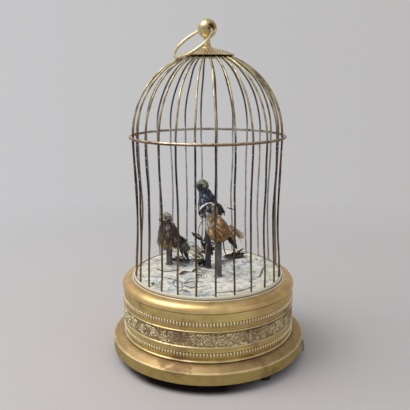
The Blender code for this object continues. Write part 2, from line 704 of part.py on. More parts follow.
def make_crown_cap():
    top = finial_seat()
    hole = FINIAL_SCREW_RADIUS + SEAT_GAP
    edge = cap_underside(CAP_RADIUS)
    profile = [(CAP_RADIUS, edge + CAP_THICKNESS)]
    for share in (0.86, 0.62, 0.40):
        radius = share * CAP_RADIUS
        profile.append((radius, edge + CAP_THICKNESS + (CAP_RISE - CAP_THICKNESS) * (1 - share ** 2)))
    profile += [(1.1 * FINIAL_FOOT_RADIUS, top), (hole, top), (hole, top - CAP_THICKNESS),
                (1.1 * FINIAL_FOOT_RADIUS, top - CAP_THICKNESS)]
    share = 0.62
    profile.append((share * CAP_RADIUS, edge + (CAP_RISE - CAP_THICKNESS) * (1 - share ** 2)))
    profile.append((CAP_RADIUS, edge))
    bm = turned_mesh(profile, BAR_COUNT * 2, closed=True)
    bmesh.ops.remove_doubles(bm, verts=bm.verts, dist=0.000001)
    for vert in bm.verts:
        radius = hypot(vert.co.x, vert.co.y)
        petal = round(atan2(vert.co.y, vert.co.x) / (pi / BAR_COUNT))
        if radius > 0.95 * CAP_RADIUS and petal % 2:
            vert.co.xy *= (CAP_RADIUS - CAP_SCALLOP) / CAP_RADIUS
    finish(new_object("crown_cap", bm), BRASS, 0.32, 1.0)


def make_collar():
    """Disc under the wires' bends. The finial's screw pulls it up against them."""
    hole = FINIAL_SCREW_RADIUS + SEAT_GAP

    def under(radius):
        return dome_height(radius) - (BAR_RADIUS + SEAT_GAP) * hypot(1.0, dome_slope(radius))

    shelf = HAIRPIN_CIRCLE - HAIRPIN_BEND
    profile = [(COLLAR_RADIUS, under(COLLAR_RADIUS)), (shelf, under(shelf)), (hole, under(shelf)),
               (hole, under(COLLAR_RADIUS) - COLLAR_THICKNESS),
               (COLLAR_RADIUS, under(COLLAR_RADIUS) - COLLAR_THICKNESS)]
    finish(turned("crown_collar", profile, BAR_COUNT), DARK_BRASS, 0.4, 1.0)


def make_finial():
    seat = finial_seat() + SEAT_GAP
    ball = ball_height()
    screw_bottom = dome_height(COLLAR_RADIUS) - 2.5 * COLLAR_THICKNESS
    foot_top = seat + FINIAL_FOOT_HEIGHT
    neck = sqrt(BALL_RADIUS ** 2 - (0.8 * FINIAL_STEM_RADIUS) ** 2)
    profile = [(0, screw_bottom), (FINIAL_SCREW_RADIUS, screw_bottom), (FINIAL_SCREW_RADIUS, seat),
               (0.9 * FINIAL_FOOT_RADIUS, seat), (FINIAL_FOOT_RADIUS, seat + 0.3 * FINIAL_FOOT_HEIGHT),
               (FINIAL_FOOT_RADIUS, seat + 0.75 * FINIAL_FOOT_HEIGHT),
               (1.1 * FINIAL_STEM_RADIUS, foot_top), (FINIAL_STEM_RADIUS, foot_top + FINIAL_FOOT_HEIGHT),
               (0.8 * FINIAL_STEM_RADIUS, ball - neck)]
    start = degrees(atan2(-neck, 0.8 * FINIAL_STEM_RADIUS))
    ball_steps = 9
    for index in range(1, ball_steps):
        angle = radians(start + (90.0 - start) * index / ball_steps)
        profile.append((BALL_RADIUS * cos(angle), ball + BALL_RADIUS * sin(angle)))
    profile.append((0, ball + BALL_RADIUS))
    finial = turned("finial", profile, 20, closed=False)
    finish(finial, BRASS, 0.25, 1.0)
    bore = []
    for share in (-1.1, -0.6, 0.0, 0.6, 1.1):
        along = share * BALL_RADIUS
        bow = RING_CIRCLE - sqrt(RING_CIRCLE ** 2 - along ** 2)
        bore.append((RING_WIRE_RADIUS + RUNNING_GAP + bow, along))
    profile = [(0, bore[0][1])] + bore + [(0, bore[-1][1])]
    guide = turned("finial_bore_guide", profile, PIN_STEPS, closed=False)
    guide.location = (0, 0, ball)
    guide.rotation_euler = (pi / 2, 0, radians(BORE_AZIMUTH))
    cut(finial, guide)


def ring_support(radius):
    """Height at which the ring's wire lies over that radius, on the bars or on the cap."""
    height = over_bars(radius, 0.0) + (RING_WIRE_RADIUS + SEAT_GAP) * hypot(1.0, dome_slope(radius))
    share = (radius - RING_WIRE_RADIUS - SEAT_GAP) / CAP_RADIUS
    if share < 1.0:
        height += SEAT_GAP + CAP_THICKNESS + (CAP_RISE - CAP_THICKNESS) * (1.0 - share ** 2)
    return height


def ring_rest_angle():
    """Slope at which the ring comes to lie, swung down from level until it touches."""
    angle = 0.0
    step = radians(0.05)
    while angle < pi / 2:
        radius = 2 * RING_CIRCLE * cos(angle + step)
        if ball_height() - 2 * RING_CIRCLE * sin(angle + step) < ring_support(radius):
            break
        angle += step
    return angle


def make_carrying_ring():
    """Its origin is on the axis of the ball's bore, about which it swings."""
    bm = bmesh.new()
    made = bmesh.ops.create_circle(bm, segments=7, radius=RING_WIRE_RADIUS)
    bmesh.ops.rotate(bm, verts=made["verts"], cent=(0, 0, 0), matrix=Matrix.Rotation(pi / 2, 3, "X"))
    bmesh.ops.translate(bm, verts=made["verts"], vec=(RING_CIRCLE, 0, 0))
    bmesh.ops.spin(bm, geom=bm.verts[:] + bm.edges[:], cent=(0, 0, 0), axis=(0, 0, 1),
                   angle=2 * pi, steps=32, use_duplicate=False)
    bmesh.ops.translate(bm, verts=bm.verts, vec=(-RING_CIRCLE, 0, 0))
    ring = new_object("carrying_ring", bm)
    ring.location = (0, 0, ball_height())
    ring.rotation_euler = (0, -ring_rest_angle(), radians(BORE_AZIMUTH))
    finish(ring, BRASS, 0.25, 1.0)


# Movement

def pillar_spots():
    return [polar(PILLAR_CIRCLE, PILLAR_FIRST_AZIMUTH + index * 360.0 / PILLAR_COUNT)
            for index in range(PILLAR_COUNT)]


def finger_spot():
    """Where the stop lever's finger stands beside the fly's vanes."""
    toward = (LEVER_PIVOT - FLY_CENTRE).normalized()
    return FLY_CENTRE + toward * (FLY_VANE_RADIUS + LEVER_FINGER_RADIUS + 2 * RUNNING_GAP)


def finger_slot(name, bottom, top):
    """Cutter for the arc that the finger sweeps about the lever's pivot."""
    arm = finger_spot() - LEVER_PIVOT
    half = LEVER_FINGER_RADIUS + RUNNING_GAP
    start = degrees(atan2(arm.y, arm.x)) - degrees(half / arm.length)
    end = start + LEVER_SWING + 2 * degrees(half / arm.length)
    outline = (arc(LEVER_PIVOT.x, LEVER_PIVOT.y, arm.length + half, start, end, 4)
               + arc(LEVER_PIVOT.x, LEVER_PIVOT.y, arm.length - half, end, start, 4))
    return prism(name, outline, bottom, top)


def disc(name, radius, bottom, top):
    return turned(name, [(0, bottom), (radius, bottom), (radius, top), (0, top)], closed=False)


def make_movement_plates():
    lower = disc("movement_lower_plate", MOVEMENT_RADIUS, LOWER_PLATE_HEIGHT, LOWER_PLATE_TOP)
    finish(lower, BRASS, 0.4, 1.0)
    bm = bmesh.new()
    for index, spot in enumerate(pillar_spots()):
        azimuth = PILLAR_FIRST_AZIMUTH + index * 360.0 / PILLAR_COUNT
        boss = polar(BOSS_CIRCLE, azimuth)
        overlap = MOVEMENT_PLATE_THICKNESS / 2
        add_pin(bm, boss, BOSS_RADIUS, BOTTOM_PLATE_TOP + SEAT_GAP, LOWER_PLATE_HEIGHT + overlap)
        add_pillar(bm, spot, LOWER_PLATE_TOP - overlap)
    add(lower, new_object("pillar_guide", bm))
    holes = [(0, 0, WINDING_ARBOR_RADIUS + RUNNING_GAP),
             (CAM_CENTRE.x, CAM_CENTRE.y, PIVOT_RADIUS + RUNNING_GAP),
             (FLY_CENTRE.x, FLY_CENTRE.y, PIVOT_RADIUS + RUNNING_GAP),
             (CLICK_PIVOT_X, CLICK_PIVOT_Y, ARBOR_RADIUS + RUNNING_GAP)]
    below = LOWER_PLATE_HEIGHT - MOVEMENT_PLATE_THICKNESS
    above = LOWER_PLATE_TOP + MOVEMENT_PLATE_THICKNESS
    cut(lower, hole_guide("lower_plate_hole_guide", holes, below, above))
    cut(lower, finger_slot("lower_plate_slot_guide", below, above))

    upper = disc("movement_upper_plate", MOVEMENT_RADIUS, UPPER_PLATE_HEIGHT, UPPER_PLATE_TOP)
    finish(upper, BRASS, 0.4, 1.0)
    holes = [(0, 0, ARBOR_RADIUS + RUNNING_GAP),
             (CAM_CENTRE.x, CAM_CENTRE.y, 2 * ARBOR_RADIUS + RUNNING_GAP),
             (FLY_CENTRE.x, FLY_CENTRE.y, PIVOT_RADIUS + RUNNING_GAP)]
    holes += [(spot.x, spot.y, PILLAR_TIP_RADIUS + SEAT_GAP) for spot in pillar_spots()]
    cut(upper, hole_guide("upper_plate_hole_guide", holes, UPPER_PLATE_HEIGHT - ARBOR_RADIUS,
                          UPPER_PLATE_TOP + ARBOR_RADIUS))
    add(upper, rocker_bracket())


def add_pin(bm, spot, radius, bottom, top):
    made = bmesh.ops.create_cone(bm, cap_ends=True, segments=PIN_STEPS, radius1=radius,
                                 radius2=radius, depth=top - bottom)
    bmesh.ops.translate(bm, verts=made["verts"], vec=(spot.x, spot.y, (top + bottom) / 2))


def add_pillar(bm, spot, bottom):
    """Pillar with a thinner tip that passes through the upper plate."""
    shoulder = UPPER_PLATE_HEIGHT - SEAT_GAP
    part = turned_mesh([(0, bottom), (PILLAR_RADIUS, bottom), (PILLAR_RADIUS, shoulder),
                        (PILLAR_TIP_RADIUS, shoulder), (PILLAR_TIP_RADIUS, UPPER_PLATE_TOP),
                        (0, UPPER_PLATE_TOP)], PIN_STEPS, closed=False)
    bmesh.ops.remove_doubles(part, verts=part.verts, dist=0.000001)
    bmesh.ops.translate(part, verts=part.verts, vec=(spot.x, spot.y, 0))
    made = bpy.data.meshes.new("pillar")
    part.to_mesh(made)
    part.free()
    bm.from_mesh(made)
    bpy.data.meshes.remove(made)


def rocker_bracket():
    """Two eared uprights on the upper plate that carry the rocker's axle."""
    width = ROCKER_SPINE_WIDTH
    eye = ROCKER_AXLE_RADIUS + RUNNING_GAP
    bm = bmesh.new()
    for y in (ROCKER_LOW_END - SEAT_GAP - ROCKER_EAR_THICKNESS, ROCKER_HIGH_END + SEAT_GAP):
        ring = arc(ROCKER_X, ROCKER_AXLE_HEIGHT, eye, 0, 330, 12)
        shell = arc(ROCKER_X, ROCKER_AXLE_HEIGHT, width / 2, -30, 210, 9)
        foot = [(ROCKER_X - width / 2, UPPER_PLATE_TOP - MOVEMENT_PLATE_THICKNESS / 2),
                (ROCKER_X + width / 2, UPPER_PLATE_TOP - MOVEMENT_PLATE_THICKNESS / 2)]
        outline = [bm.verts.new((x, y, z)) for x, z in shell + foot]
        inner = [bm.verts.new((x, y, z)) for x, z in ring]
        loops = [bm.edges.new((a, b)) for a, b in zip(outline, outline[1:] + outline[:1])]
        loops += [bm.edges.new((a, b)) for a, b in zip(inner, inner[1:] + inner[:1])]
        made = bmesh.ops.triangle_fill(bm, edges=loops, use_beauty=True)
        faces = [f for f in made["geom"] if isinstance(f, bmesh.types.BMFace)]
        raised = bmesh.ops.extrude_face_region(bm, geom=faces)
        moved = [v for v in raised["geom"] if isinstance(v, bmesh.types.BMVert)]
        bmesh.ops.translate(bm, verts=moved, vec=(0, ROCKER_EAR_THICKNESS, 0))
    return new_object("rocker_bracket_guide", bm, smooth=False)


def make_barrel():
    """Going barrel: the great wheel and the drum that holds the mainspring."""
    barrel = prism("mainspring_barrel",
                   gear_outline(GREAT_WHEEL_TEETH, GREAT_WHEEL_RADIUS, GREAT_WHEEL_MODULE,
                                CAM_AZIMUTH - 90.0), WHEEL_BOTTOM, WHEEL_TOP)
    finish(barrel, BRASS, 0.3, 1.0)
    overlap = GREAT_WHEEL_THICKNESS / 2
    add(barrel, pin("barrel_drum_guide", BARREL_RADIUS, WHEEL_TOP - overlap, BARREL_TOP, steps=32))
    cut(barrel, pin("barrel_bore_guide", WINDING_ARBOR_RADIUS + RUNNING_GAP,
                    WHEEL_BOTTOM - overlap, BARREL_TOP + overlap))


def make_winding_arbor():
    ratchet_bottom = BOTTOM_PLATE_TOP + 2 * RUNNING_GAP
    foot = key_socket_top() + SEAT_GAP
    shoulder = BARREL_TOP + RUNNING_GAP
    arbor = turned("barrel_arbor",
                   [(0, foot), (WINDING_ARBOR_RADIUS, foot), (WINDING_ARBOR_RADIUS, shoulder),
                    (ARBOR_RADIUS, shoulder), (ARBOR_RADIUS, PIVOT_TOP), (0, PIVOT_TOP)],
                   PIN_STEPS, closed=False)
    finish(arbor, STEEL, 0.3, 1.0)
    add(arbor, prism("ratchet_guide", ratchet_outline(), ratchet_bottom,
                     ratchet_bottom + RATCHET_THICKNESS))


def key_socket_top():
    """Height of the floor of the key's socket."""
    return KEY_TOP - KEY_SOCKET_DEPTH


def make_winding_key():
    radius = KEY_BARREL_RADIUS
    profile = [(0, KEY_BOTTOM), (radius, KEY_BOTTOM), (radius, KEY_TOP), (0, KEY_TOP)]
    key = turned("winding_key", profile, SMALL_STEPS, closed=False)
    finish(key, STEEL, 0.35, 1.0)
    half = KEY_WING_SPAN / 2
    low = KEY_BOTTOM - SEAT_GAP
    rise = KEY_WING_HEIGHT / 2
    outline = (arc(half - rise, low + rise, rise, -90, 90, 7)
               + arc(-half + rise, low + rise, rise, 90, 270, 7))
    wing = prism("key_wing_guide", outline, -KEY_WING_THICKNESS / 2, KEY_WING_THICKNESS / 2)
    wing.rotation_euler = (pi / 2, 0, 0)
    add(key, wing)
    cut(key, pin("key_socket_guide", WINDING_ARBOR_RADIUS + SEAT_GAP, key_socket_top(),
                 KEY_TOP + SEAT_GAP))


def make_click():
    """Pawl that drops into the ratchet. Its origin is on its pivot."""
    bottom = BOTTOM_PLATE_TOP + 2 * RUNNING_GAP
    root = RATCHET_RADIUS - RATCHET_TOOTH_DEPTH
    tip_x = root + 2 * RUNNING_GAP - CLICK_PIVOT_X
    tip_y = -2 * RUNNING_GAP - CLICK_PIVOT_Y
    outline = arc(0, 0, CLICK_PIVOT_RADIUS, 150, 380, 8) + [
        (tip_x + 2 * CLICK_ARM_WIDTH, 0.6 * tip_y), (tip_x + CLICK_ARM_WIDTH, tip_y), (tip_x, tip_y)]
    click = prism("click", outline, bottom, bottom + RATCHET_THICKNESS)
    finish(click, STEEL, 0.3, 1.0)
    add(click, pin("click_pin_guide", ARBOR_RADIUS, bottom + RATCHET_THICKNESS / 2,
                   LOWER_PLATE_TOP + SEAT_GAP, (CLICK_PIVOT_X, CLICK_PIVOT_Y)))
    click.location = (CLICK_PIVOT_X, CLICK_PIVOT_Y, 0)


def make_cam_stack():
    """Cam arbor: pinion, two cams, wheel, and a crown cam over the upper plate."""
    wheel_phase = FLY_DIRECTION
    pinion_phase = CAM_AZIMUTH - 90.0 + 180.0 + 180.0 / CAM_PINION_TEETH
    neck = 2 * ARBOR_RADIUS
    crown = UPPER_PLATE_TOP + RUNNING_GAP
    crown_top = ROCKER_HEIGHT - 2 * RUNNING_GAP
    stack = turned("cam_stack", [
        (0, PIVOT_BOTTOM), (PIVOT_RADIUS, PIVOT_BOTTOM), (PIVOT_RADIUS, SHOULDER_OF_ARBOR_BOTTOM),
        (neck, SHOULDER_OF_ARBOR_BOTTOM), (neck, crown), (CAM_RADIUS, crown),
        (CAM_RADIUS, crown_top), (0, crown_top)], SMALL_STEPS, closed=False)
    finish(stack, BRASS, 0.3, 1.0)
    stack.location = CAM_CENTRE
    parts = [
        ("cam_pinion_guide", gear_outline(CAM_PINION_TEETH, CAM_PINION_RADIUS, GREAT_WHEEL_MODULE,
                                          pinion_phase), WHEEL_BOTTOM, WHEEL_TOP),
        ("cam_wheel_guide", gear_outline(CAM_WHEEL_TEETH, CAM_WHEEL_RADIUS, CAM_WHEEL_MODULE,
                                         wheel_phase), CAM_WHEEL_BOTTOM, CAM_WHEEL_TOP)]
    level = WHEEL_TOP + CAM_THICKNESS / 2
    for number, turn in ((1, 0.0), (2, 24.0)):
        parts.append(("song_cam_%d_guide" % number, cam_outline(turn), level, level + CAM_THICKNESS))
        level += 1.5 * CAM_THICKNESS
    for name, outline, bottom, top in parts:
        guide = prism(name, outline, bottom, top)
        guide.location = CAM_CENTRE
        add(stack, guide)


def cam_outline(turn):
    """Lobed cam, never wider than the cam radius."""
    points = []
    steps = 4 * CAM_LOBES
    for index in range(steps):
        angle = 2 * pi * index / steps
        radius = CAM_RADIUS - CAM_LOBE_DEPTH * (1 + cos(CAM_LOBES * angle)) / 2
        points.append((radius * cos(angle + radians(turn)), radius * sin(angle + radians(turn))))
    return points


def make_fly():
    """Air fly that holds the speed: pinion and two vanes."""
    phase = FLY_DIRECTION + 180.0 + 180.0 / FLY_PINION_TEETH
    fly = turned("air_fly", [
        (0, PIVOT_BOTTOM), (PIVOT_RADIUS, PIVOT_BOTTOM), (PIVOT_RADIUS, SHOULDER_OF_ARBOR_BOTTOM),
        (ARBOR_RADIUS, SHOULDER_OF_ARBOR_BOTTOM), (ARBOR_RADIUS, SHOULDER_OF_ARBOR_TOP),
        (PIVOT_RADIUS, SHOULDER_OF_ARBOR_TOP), (PIVOT_RADIUS, PIVOT_TOP), (0, PIVOT_TOP)],
        10, closed=False)
    finish(fly, BRASS, 0.3, 1.0)
    fly.location = FLY_CENTRE
    pinion = prism("fly_pinion_guide", gear_outline(FLY_PINION_TEETH, FLY_PINION_RADIUS,
                                                    CAM_WHEEL_MODULE, phase),
                   CAM_WHEEL_BOTTOM - CAM_WHEEL_THICKNESS / 3, CAM_WHEEL_TOP + CAM_WHEEL_THICKNESS / 3)
    pinion.location = FLY_CENTRE
    add(fly, pinion)
    half = FLY_VANE_THICKNESS / 2
    vane = prism("fly_vane_guide", [(-FLY_VANE_RADIUS, -half), (FLY_VANE_RADIUS, -half),
                                    (FLY_VANE_RADIUS, half), (-FLY_VANE_RADIUS, half)],
                 WHEEL_BOTTOM, WHEEL_BOTTOM + FLY_VANE_HEIGHT)
    vane.location = FLY_CENTRE
    add(fly, vane)


# Stop lever

def lever_top():
    return BOTTOM_PLATE_HEIGHT - 2 * RUNNING_GAP


def lever_bottom():
    return lever_top() - LEVER_THICKNESS


def make_stop_lever():
    """Strip under the bottom plate with a tab outside the rim. Its origin is on its pivot."""
    half = LEVER_WIDTH / 2
    tab_inner = PLINTH_RADIUS - LEVER_PIVOT_CIRCLE + LEVER_REACH - LEVER_TAB_THICKNESS
    tab_outer = tab_inner + LEVER_TAB_THICKNESS
    strip = arc(0, 0, half, 90, 270, 7) + [(tab_outer, -half), (tab_outer, half)]
    lever = prism("stop_lever", strip, lever_bottom(), lever_top())
    finish(lever, STEEL, 0.4, 1.0)
    tab = prism("lever_tab_guide", [(tab_inner, -0.8 * half), (tab_outer, -0.8 * half),
                                    (tab_outer, 0.8 * half), (tab_inner, 0.8 * half)],
                lever_top() - LEVER_TAB_HEIGHT, lever_top() + LEVER_THICKNESS)
    post = pin("lever_pin_guide", ARBOR_RADIUS, lever_bottom() + LEVER_THICKNESS / 2,
               BOTTOM_PLATE_TOP + SEAT_GAP)
    for item in (lever, tab, post):
        item.location = LEVER_PIVOT
        item.rotation_euler = (0, 0, radians(LEVER_AZIMUTH - 90.0))
    arm = finger_spot() - LEVER_PIVOT
    width = 0.8 * half
    strap = prism("lever_arm_guide", [(0, -width), (arm.length + width, -width),
                                      (arm.length + width, width), (0, width)],
                  lever_bottom() + SEAT_GAP, lever_top() - SEAT_GAP / 2)
    strap.location = LEVER_PIVOT
    strap.rotation_euler = (0, 0, atan2(arm.y, arm.x))
    finger = pin("lever_finger_guide", LEVER_FINGER_RADIUS, lever_bottom() + LEVER_THICKNESS / 2,
                 lever_top() + LEVER_FINGER_RISE, finger_spot(), steps=8)
    for guide in (tab, post, strap, finger):
        add(lever, guide)


# Bellows and whistle

def bellows_hinge():
    return Vector((-BELLOWS_LENGTH / 2, BELLOWS_Y, UPPER_PLATE_TOP + SEAT_GAP + 2 * BELLOWS_BOARD))


def make_bellows():
    low = UPPER_PLATE_TOP + SEAT_GAP
    half = BELLOWS_WIDTH / 2
    hinge = bellows_hinge()
    board = prism("bellows_fixed_board", [
        (-BELLOWS_LENGTH / 2, BELLOWS_Y - half), (BELLOWS_LENGTH / 2, BELLOWS_Y - half),
        (BELLOWS_LENGTH / 2, BELLOWS_Y + half), (-BELLOWS_LENGTH / 2, BELLOWS_Y + half)],
        low, low + BELLOWS_BOARD)
    finish(board, WOOD, 0.6, 0.0)

    slope = tan(radians(BELLOWS_REST_OPENING))
    lid = side_prism("bellows_moving_board", [
        (0, 0), (BELLOWS_LENGTH, slope * BELLOWS_LENGTH),
        (BELLOWS_LENGTH, slope * BELLOWS_LENGTH + BELLOWS_BOARD), (0, BELLOWS_BOARD)], half)
    lid.location = hinge
    finish(lid, WOOD, 0.6, 0.0)

    start = 2 * BELLOWS_MARGIN
    end = BELLOWS_LENGTH - BELLOWS_MARGIN
    floor = -BELLOWS_BOARD + SEAT_GAP
    folds = 3
    side = []
    for index in range(2 * folds + 1):
        share = index / (2 * folds)
        inset = 0.0 if index % 2 else -BELLOWS_MARGIN / 2
        height = floor + (slope * end - SEAT_GAP / cos(radians(BELLOWS_REST_OPENING)) - floor) * share
        side.append((end + inset, height))
    roof = slope * start - SEAT_GAP / cos(radians(BELLOWS_REST_OPENING))
    skin = side_prism("bellows_leather", [(start, floor)] + side + [(start, roof)],
                      half - BELLOWS_MARGIN)
    skin.location = hinge
    finish(skin, LEATHER, 0.7, 0.0)


def side_prism(name, outline, half_width):
    """Outline of (x, z) points, as wide as twice half_width along Y."""
    item = prism(name, outline, -half_width, half_width)
    item.data.transform(Matrix.Rotation(pi / 2, 4, "X"))
    return item


def whistle_height():
    return UPPER_PLATE_TOP + SEAT_GAP + WHISTLE_RADIUS


def make_whistle():
    """Tube of the bird call, its mouth cut on top, open towards the piston."""
    closed_end = WHISTLE_RADIUS - WHISTLE_BORE
    whistle = turned("whistle_tube", [
        (0, 0), (WHISTLE_RADIUS, 0), (WHISTLE_RADIUS, WHISTLE_LENGTH), (WHISTLE_BORE, WHISTLE_LENGTH),
        (WHISTLE_BORE, closed_end), (0, closed_end)], 16, closed=False)
    whistle.data.transform(Matrix.Rotation(pi / 2, 4, "Y"))
    whistle.location = (WHISTLE_LEFT, WHISTLE_Y, whistle_height())
    finish(whistle, BRASS, 0.3, 1.0)
    mouth = 1.2 * WHISTLE_BORE
    near = 2 * closed_end
    far = near + mouth
    slot = prism("whistle_mouth_guide", [(near, -mouth / 2), (far, -mouth / 2),
                                         (far, mouth / 2), (near, mouth / 2)],
                 WHISTLE_BORE / 2, 2 * WHISTLE_RADIUS)
    slot.location = whistle.location
    cut(whistle, slot)

    radius = WHISTLE_BORE - RUNNING_GAP
    rod = radius / 2
    head = PISTON_LENGTH * 0.3
    knob = PISTON_LENGTH + PISTON_KNOB_LENGTH
    piston = turned("whistle_piston", [
        (0, 0), (radius, 0), (radius, head), (rod, head), (rod, PISTON_LENGTH),
        (PISTON_KNOB_RADIUS, PISTON_LENGTH), (PISTON_KNOB_RADIUS, knob), (0, knob)], PIN_STEPS,
        closed=False)
    piston.data.transform(Matrix.Rotation(pi / 2, 4, "Y"))
    piston.location = (WHISTLE_LEFT + WHISTLE_LENGTH - PISTON_REST_DEPTH, WHISTLE_Y, whistle_height())
    finish(piston, STEEL, 0.3, 1.0)


# Rocker and push rods

def make_rocker():
    """Three armed plate that lifts the push rods. Its origin is on its axle."""
    low = ROCKER_LOW_END
    high = ROCKER_HIGH_END
    half = ROCKER_ARM_WIDTH / 2
    right = ROCKER_SPINE_WIDTH / 2
    outline = [(right, low), (right, high)]
    for _, x, y, *_ in sorted(BIRDS, key=lambda bird: -bird[2]):
        end = x - ROCKER_X - half
        outline += [(-right, y + half), (end, y + half), (end, y - half), (-right, y - half)]
    rocker = prism("rocker", outline, ROCKER_HEIGHT, ROCKER_TOP)
    finish(rocker, BRASS, 0.35, 1.0)
    reach = SEAT_GAP + ROCKER_EAR_THICKNESS
    axle = turned("rocker_axle_guide", [(0, low - reach), (ROCKER_AXLE_RADIUS, low - reach),
                                        (ROCKER_AXLE_RADIUS, high + reach), (0, high + reach)],
                  PIN_STEPS, closed=False)
    axle.data.transform(Matrix.Rotation(-pi / 2, 4, "X"))
    axle.location = (ROCKER_X, 0, ROCKER_AXLE_HEIGHT)
    rocker.location = (ROCKER_X, 0, 0)
    add(rocker, axle)


def rod_top(perch):
    return perch + ROD_BODY_DEPTH


def make_push_rod(bird, x, y, perch):
    rod = turned(bird + "_push_rod", [(0, ROD_BOTTOM), (ROD_RADIUS, ROD_BOTTOM),
                                      (ROD_RADIUS, rod_top(perch)), (0, rod_top(perch))],
                 8, closed=False)
    rod.location = (x, y, 0)
    finish(rod, STEEL, 0.3, 1.0)


# Birds

def make_post(bird, x, y, perch):
    foot = TRAY_HEIGHT + SEAT_GAP
    tenon = foot - POST_TENON_LENGTH
    post = turned(bird + "_post", [
        (POST_BORE, tenon), (POST_TENON_RADIUS, tenon), (POST_TENON_RADIUS, foot),
        (POST_RADIUS, foot), (POST_RADIUS, perch), (POST_BORE, perch)], PIN_STEPS)
    post.location = (x, y, 0)
    finish(post, POST_GREY, 0.6, 0.2)


def egg_radius(share):
    """Half width of the body, share running from the rump to the neck."""
    return BODY_RADIUS * sin(pi * share ** 0.8) ** 0.75


def body_axis(lean):
    """Unit vector along the body, in the bird's own frame, and the rump's place."""
    tilt = radians(lean)
    along = Vector((sin(tilt), 0, cos(tilt)))
    rump = Vector((0, 0, BODY_RISE)) - along * BODY_LENGTH * 0.45
    return along, rump


def tail_hinge(lean):
    """Place of the tail's hinge, just inside the back of the rump."""
    along, rump = body_axis(lean)
    share = 0.28
    back = Vector((-along.z, 0, along.x))
    return rump + along * BODY_LENGTH * share + back * (egg_radius(share) - 1.3 * TAIL_HINGE_RADIUS)


def beak_hinge(head_forward):
    return Vector((head_forward + HEAD_RADIUS - BEAK_HINGE_RADIUS, 0, HEAD_RISE - 2 * BEAK_HINGE_RADIUS))


def place(item, x, y, perch, heading):
    """Moves a piece from the bird's own frame, its beak towards +X, to its post."""
    turn = radians(heading - 90.0)
    item.location = Matrix.Rotation(turn, 3, "Z") @ item.location + Vector((x, y, perch))
    item.rotation_euler.z = turn


def tongue(name, hinge_radius, length, tip_thickness, root_width, tip_width, straight, slope):
    """Flat blade that starts in a round root, for tails and lower beaks. It runs towards +X."""
    root = arc(0, 0, hinge_radius, 90, 270, 5)
    bm = bmesh.new()
    sides = []
    for hand in (-1, 1):
        y = hand * root_width / 2
        ring = [bm.verts.new((x, y, z)) for x, z in root]
        near_low = bm.verts.new((straight, y, -hinge_radius))
        near_high = bm.verts.new((straight, y, hinge_radius))
        far_low = bm.verts.new((length, hand * tip_width / 2, -tip_thickness / 2))
        far_high = bm.verts.new((length, hand * tip_width / 2, tip_thickness / 2))
        sides.append(ring + [near_low, far_low, far_high, near_high])
        bm.faces.new(ring + [near_low, near_high])
        bm.faces.new([near_low, far_low, far_high, near_high])
    left, right = sides
    for a, b, c, d in zip(left, left[1:] + left[:1], right[1:] + right[:1], right):
        bm.faces.new([a, b, c, d])
    bmesh.ops.rotate(bm, verts=bm.verts, cent=(0, 0, 0), matrix=Matrix.Rotation(radians(slope), 3, "Y"))
    return new_object(name, bm, smooth=False)


def fan_guide(name, centre, radius, half_width, direction, low, high, reach):
    """Cutter for a round root and for the sweep of its blade, angles in degrees in the XZ plane."""
    first = radians(direction + high)
    last = radians(direction + low)
    top = (radius * -sin(first), radius * cos(first))
    bottom = (radius * sin(last), radius * -cos(last))
    start = degrees(atan2(top[1], top[0]))
    end = degrees(atan2(bottom[1], bottom[0]))
    while end < start:
        end += 360.0
    outline = arc(0, 0, radius, start, end, 7)
    outline.append((bottom[0] + reach * cos(last), bottom[1] + reach * sin(last)))
    outline.append((top[0] + reach * cos(first), top[1] + reach * sin(first)))
    guide = side_prism(name, outline, half_width)
    guide.location = centre
    return guide


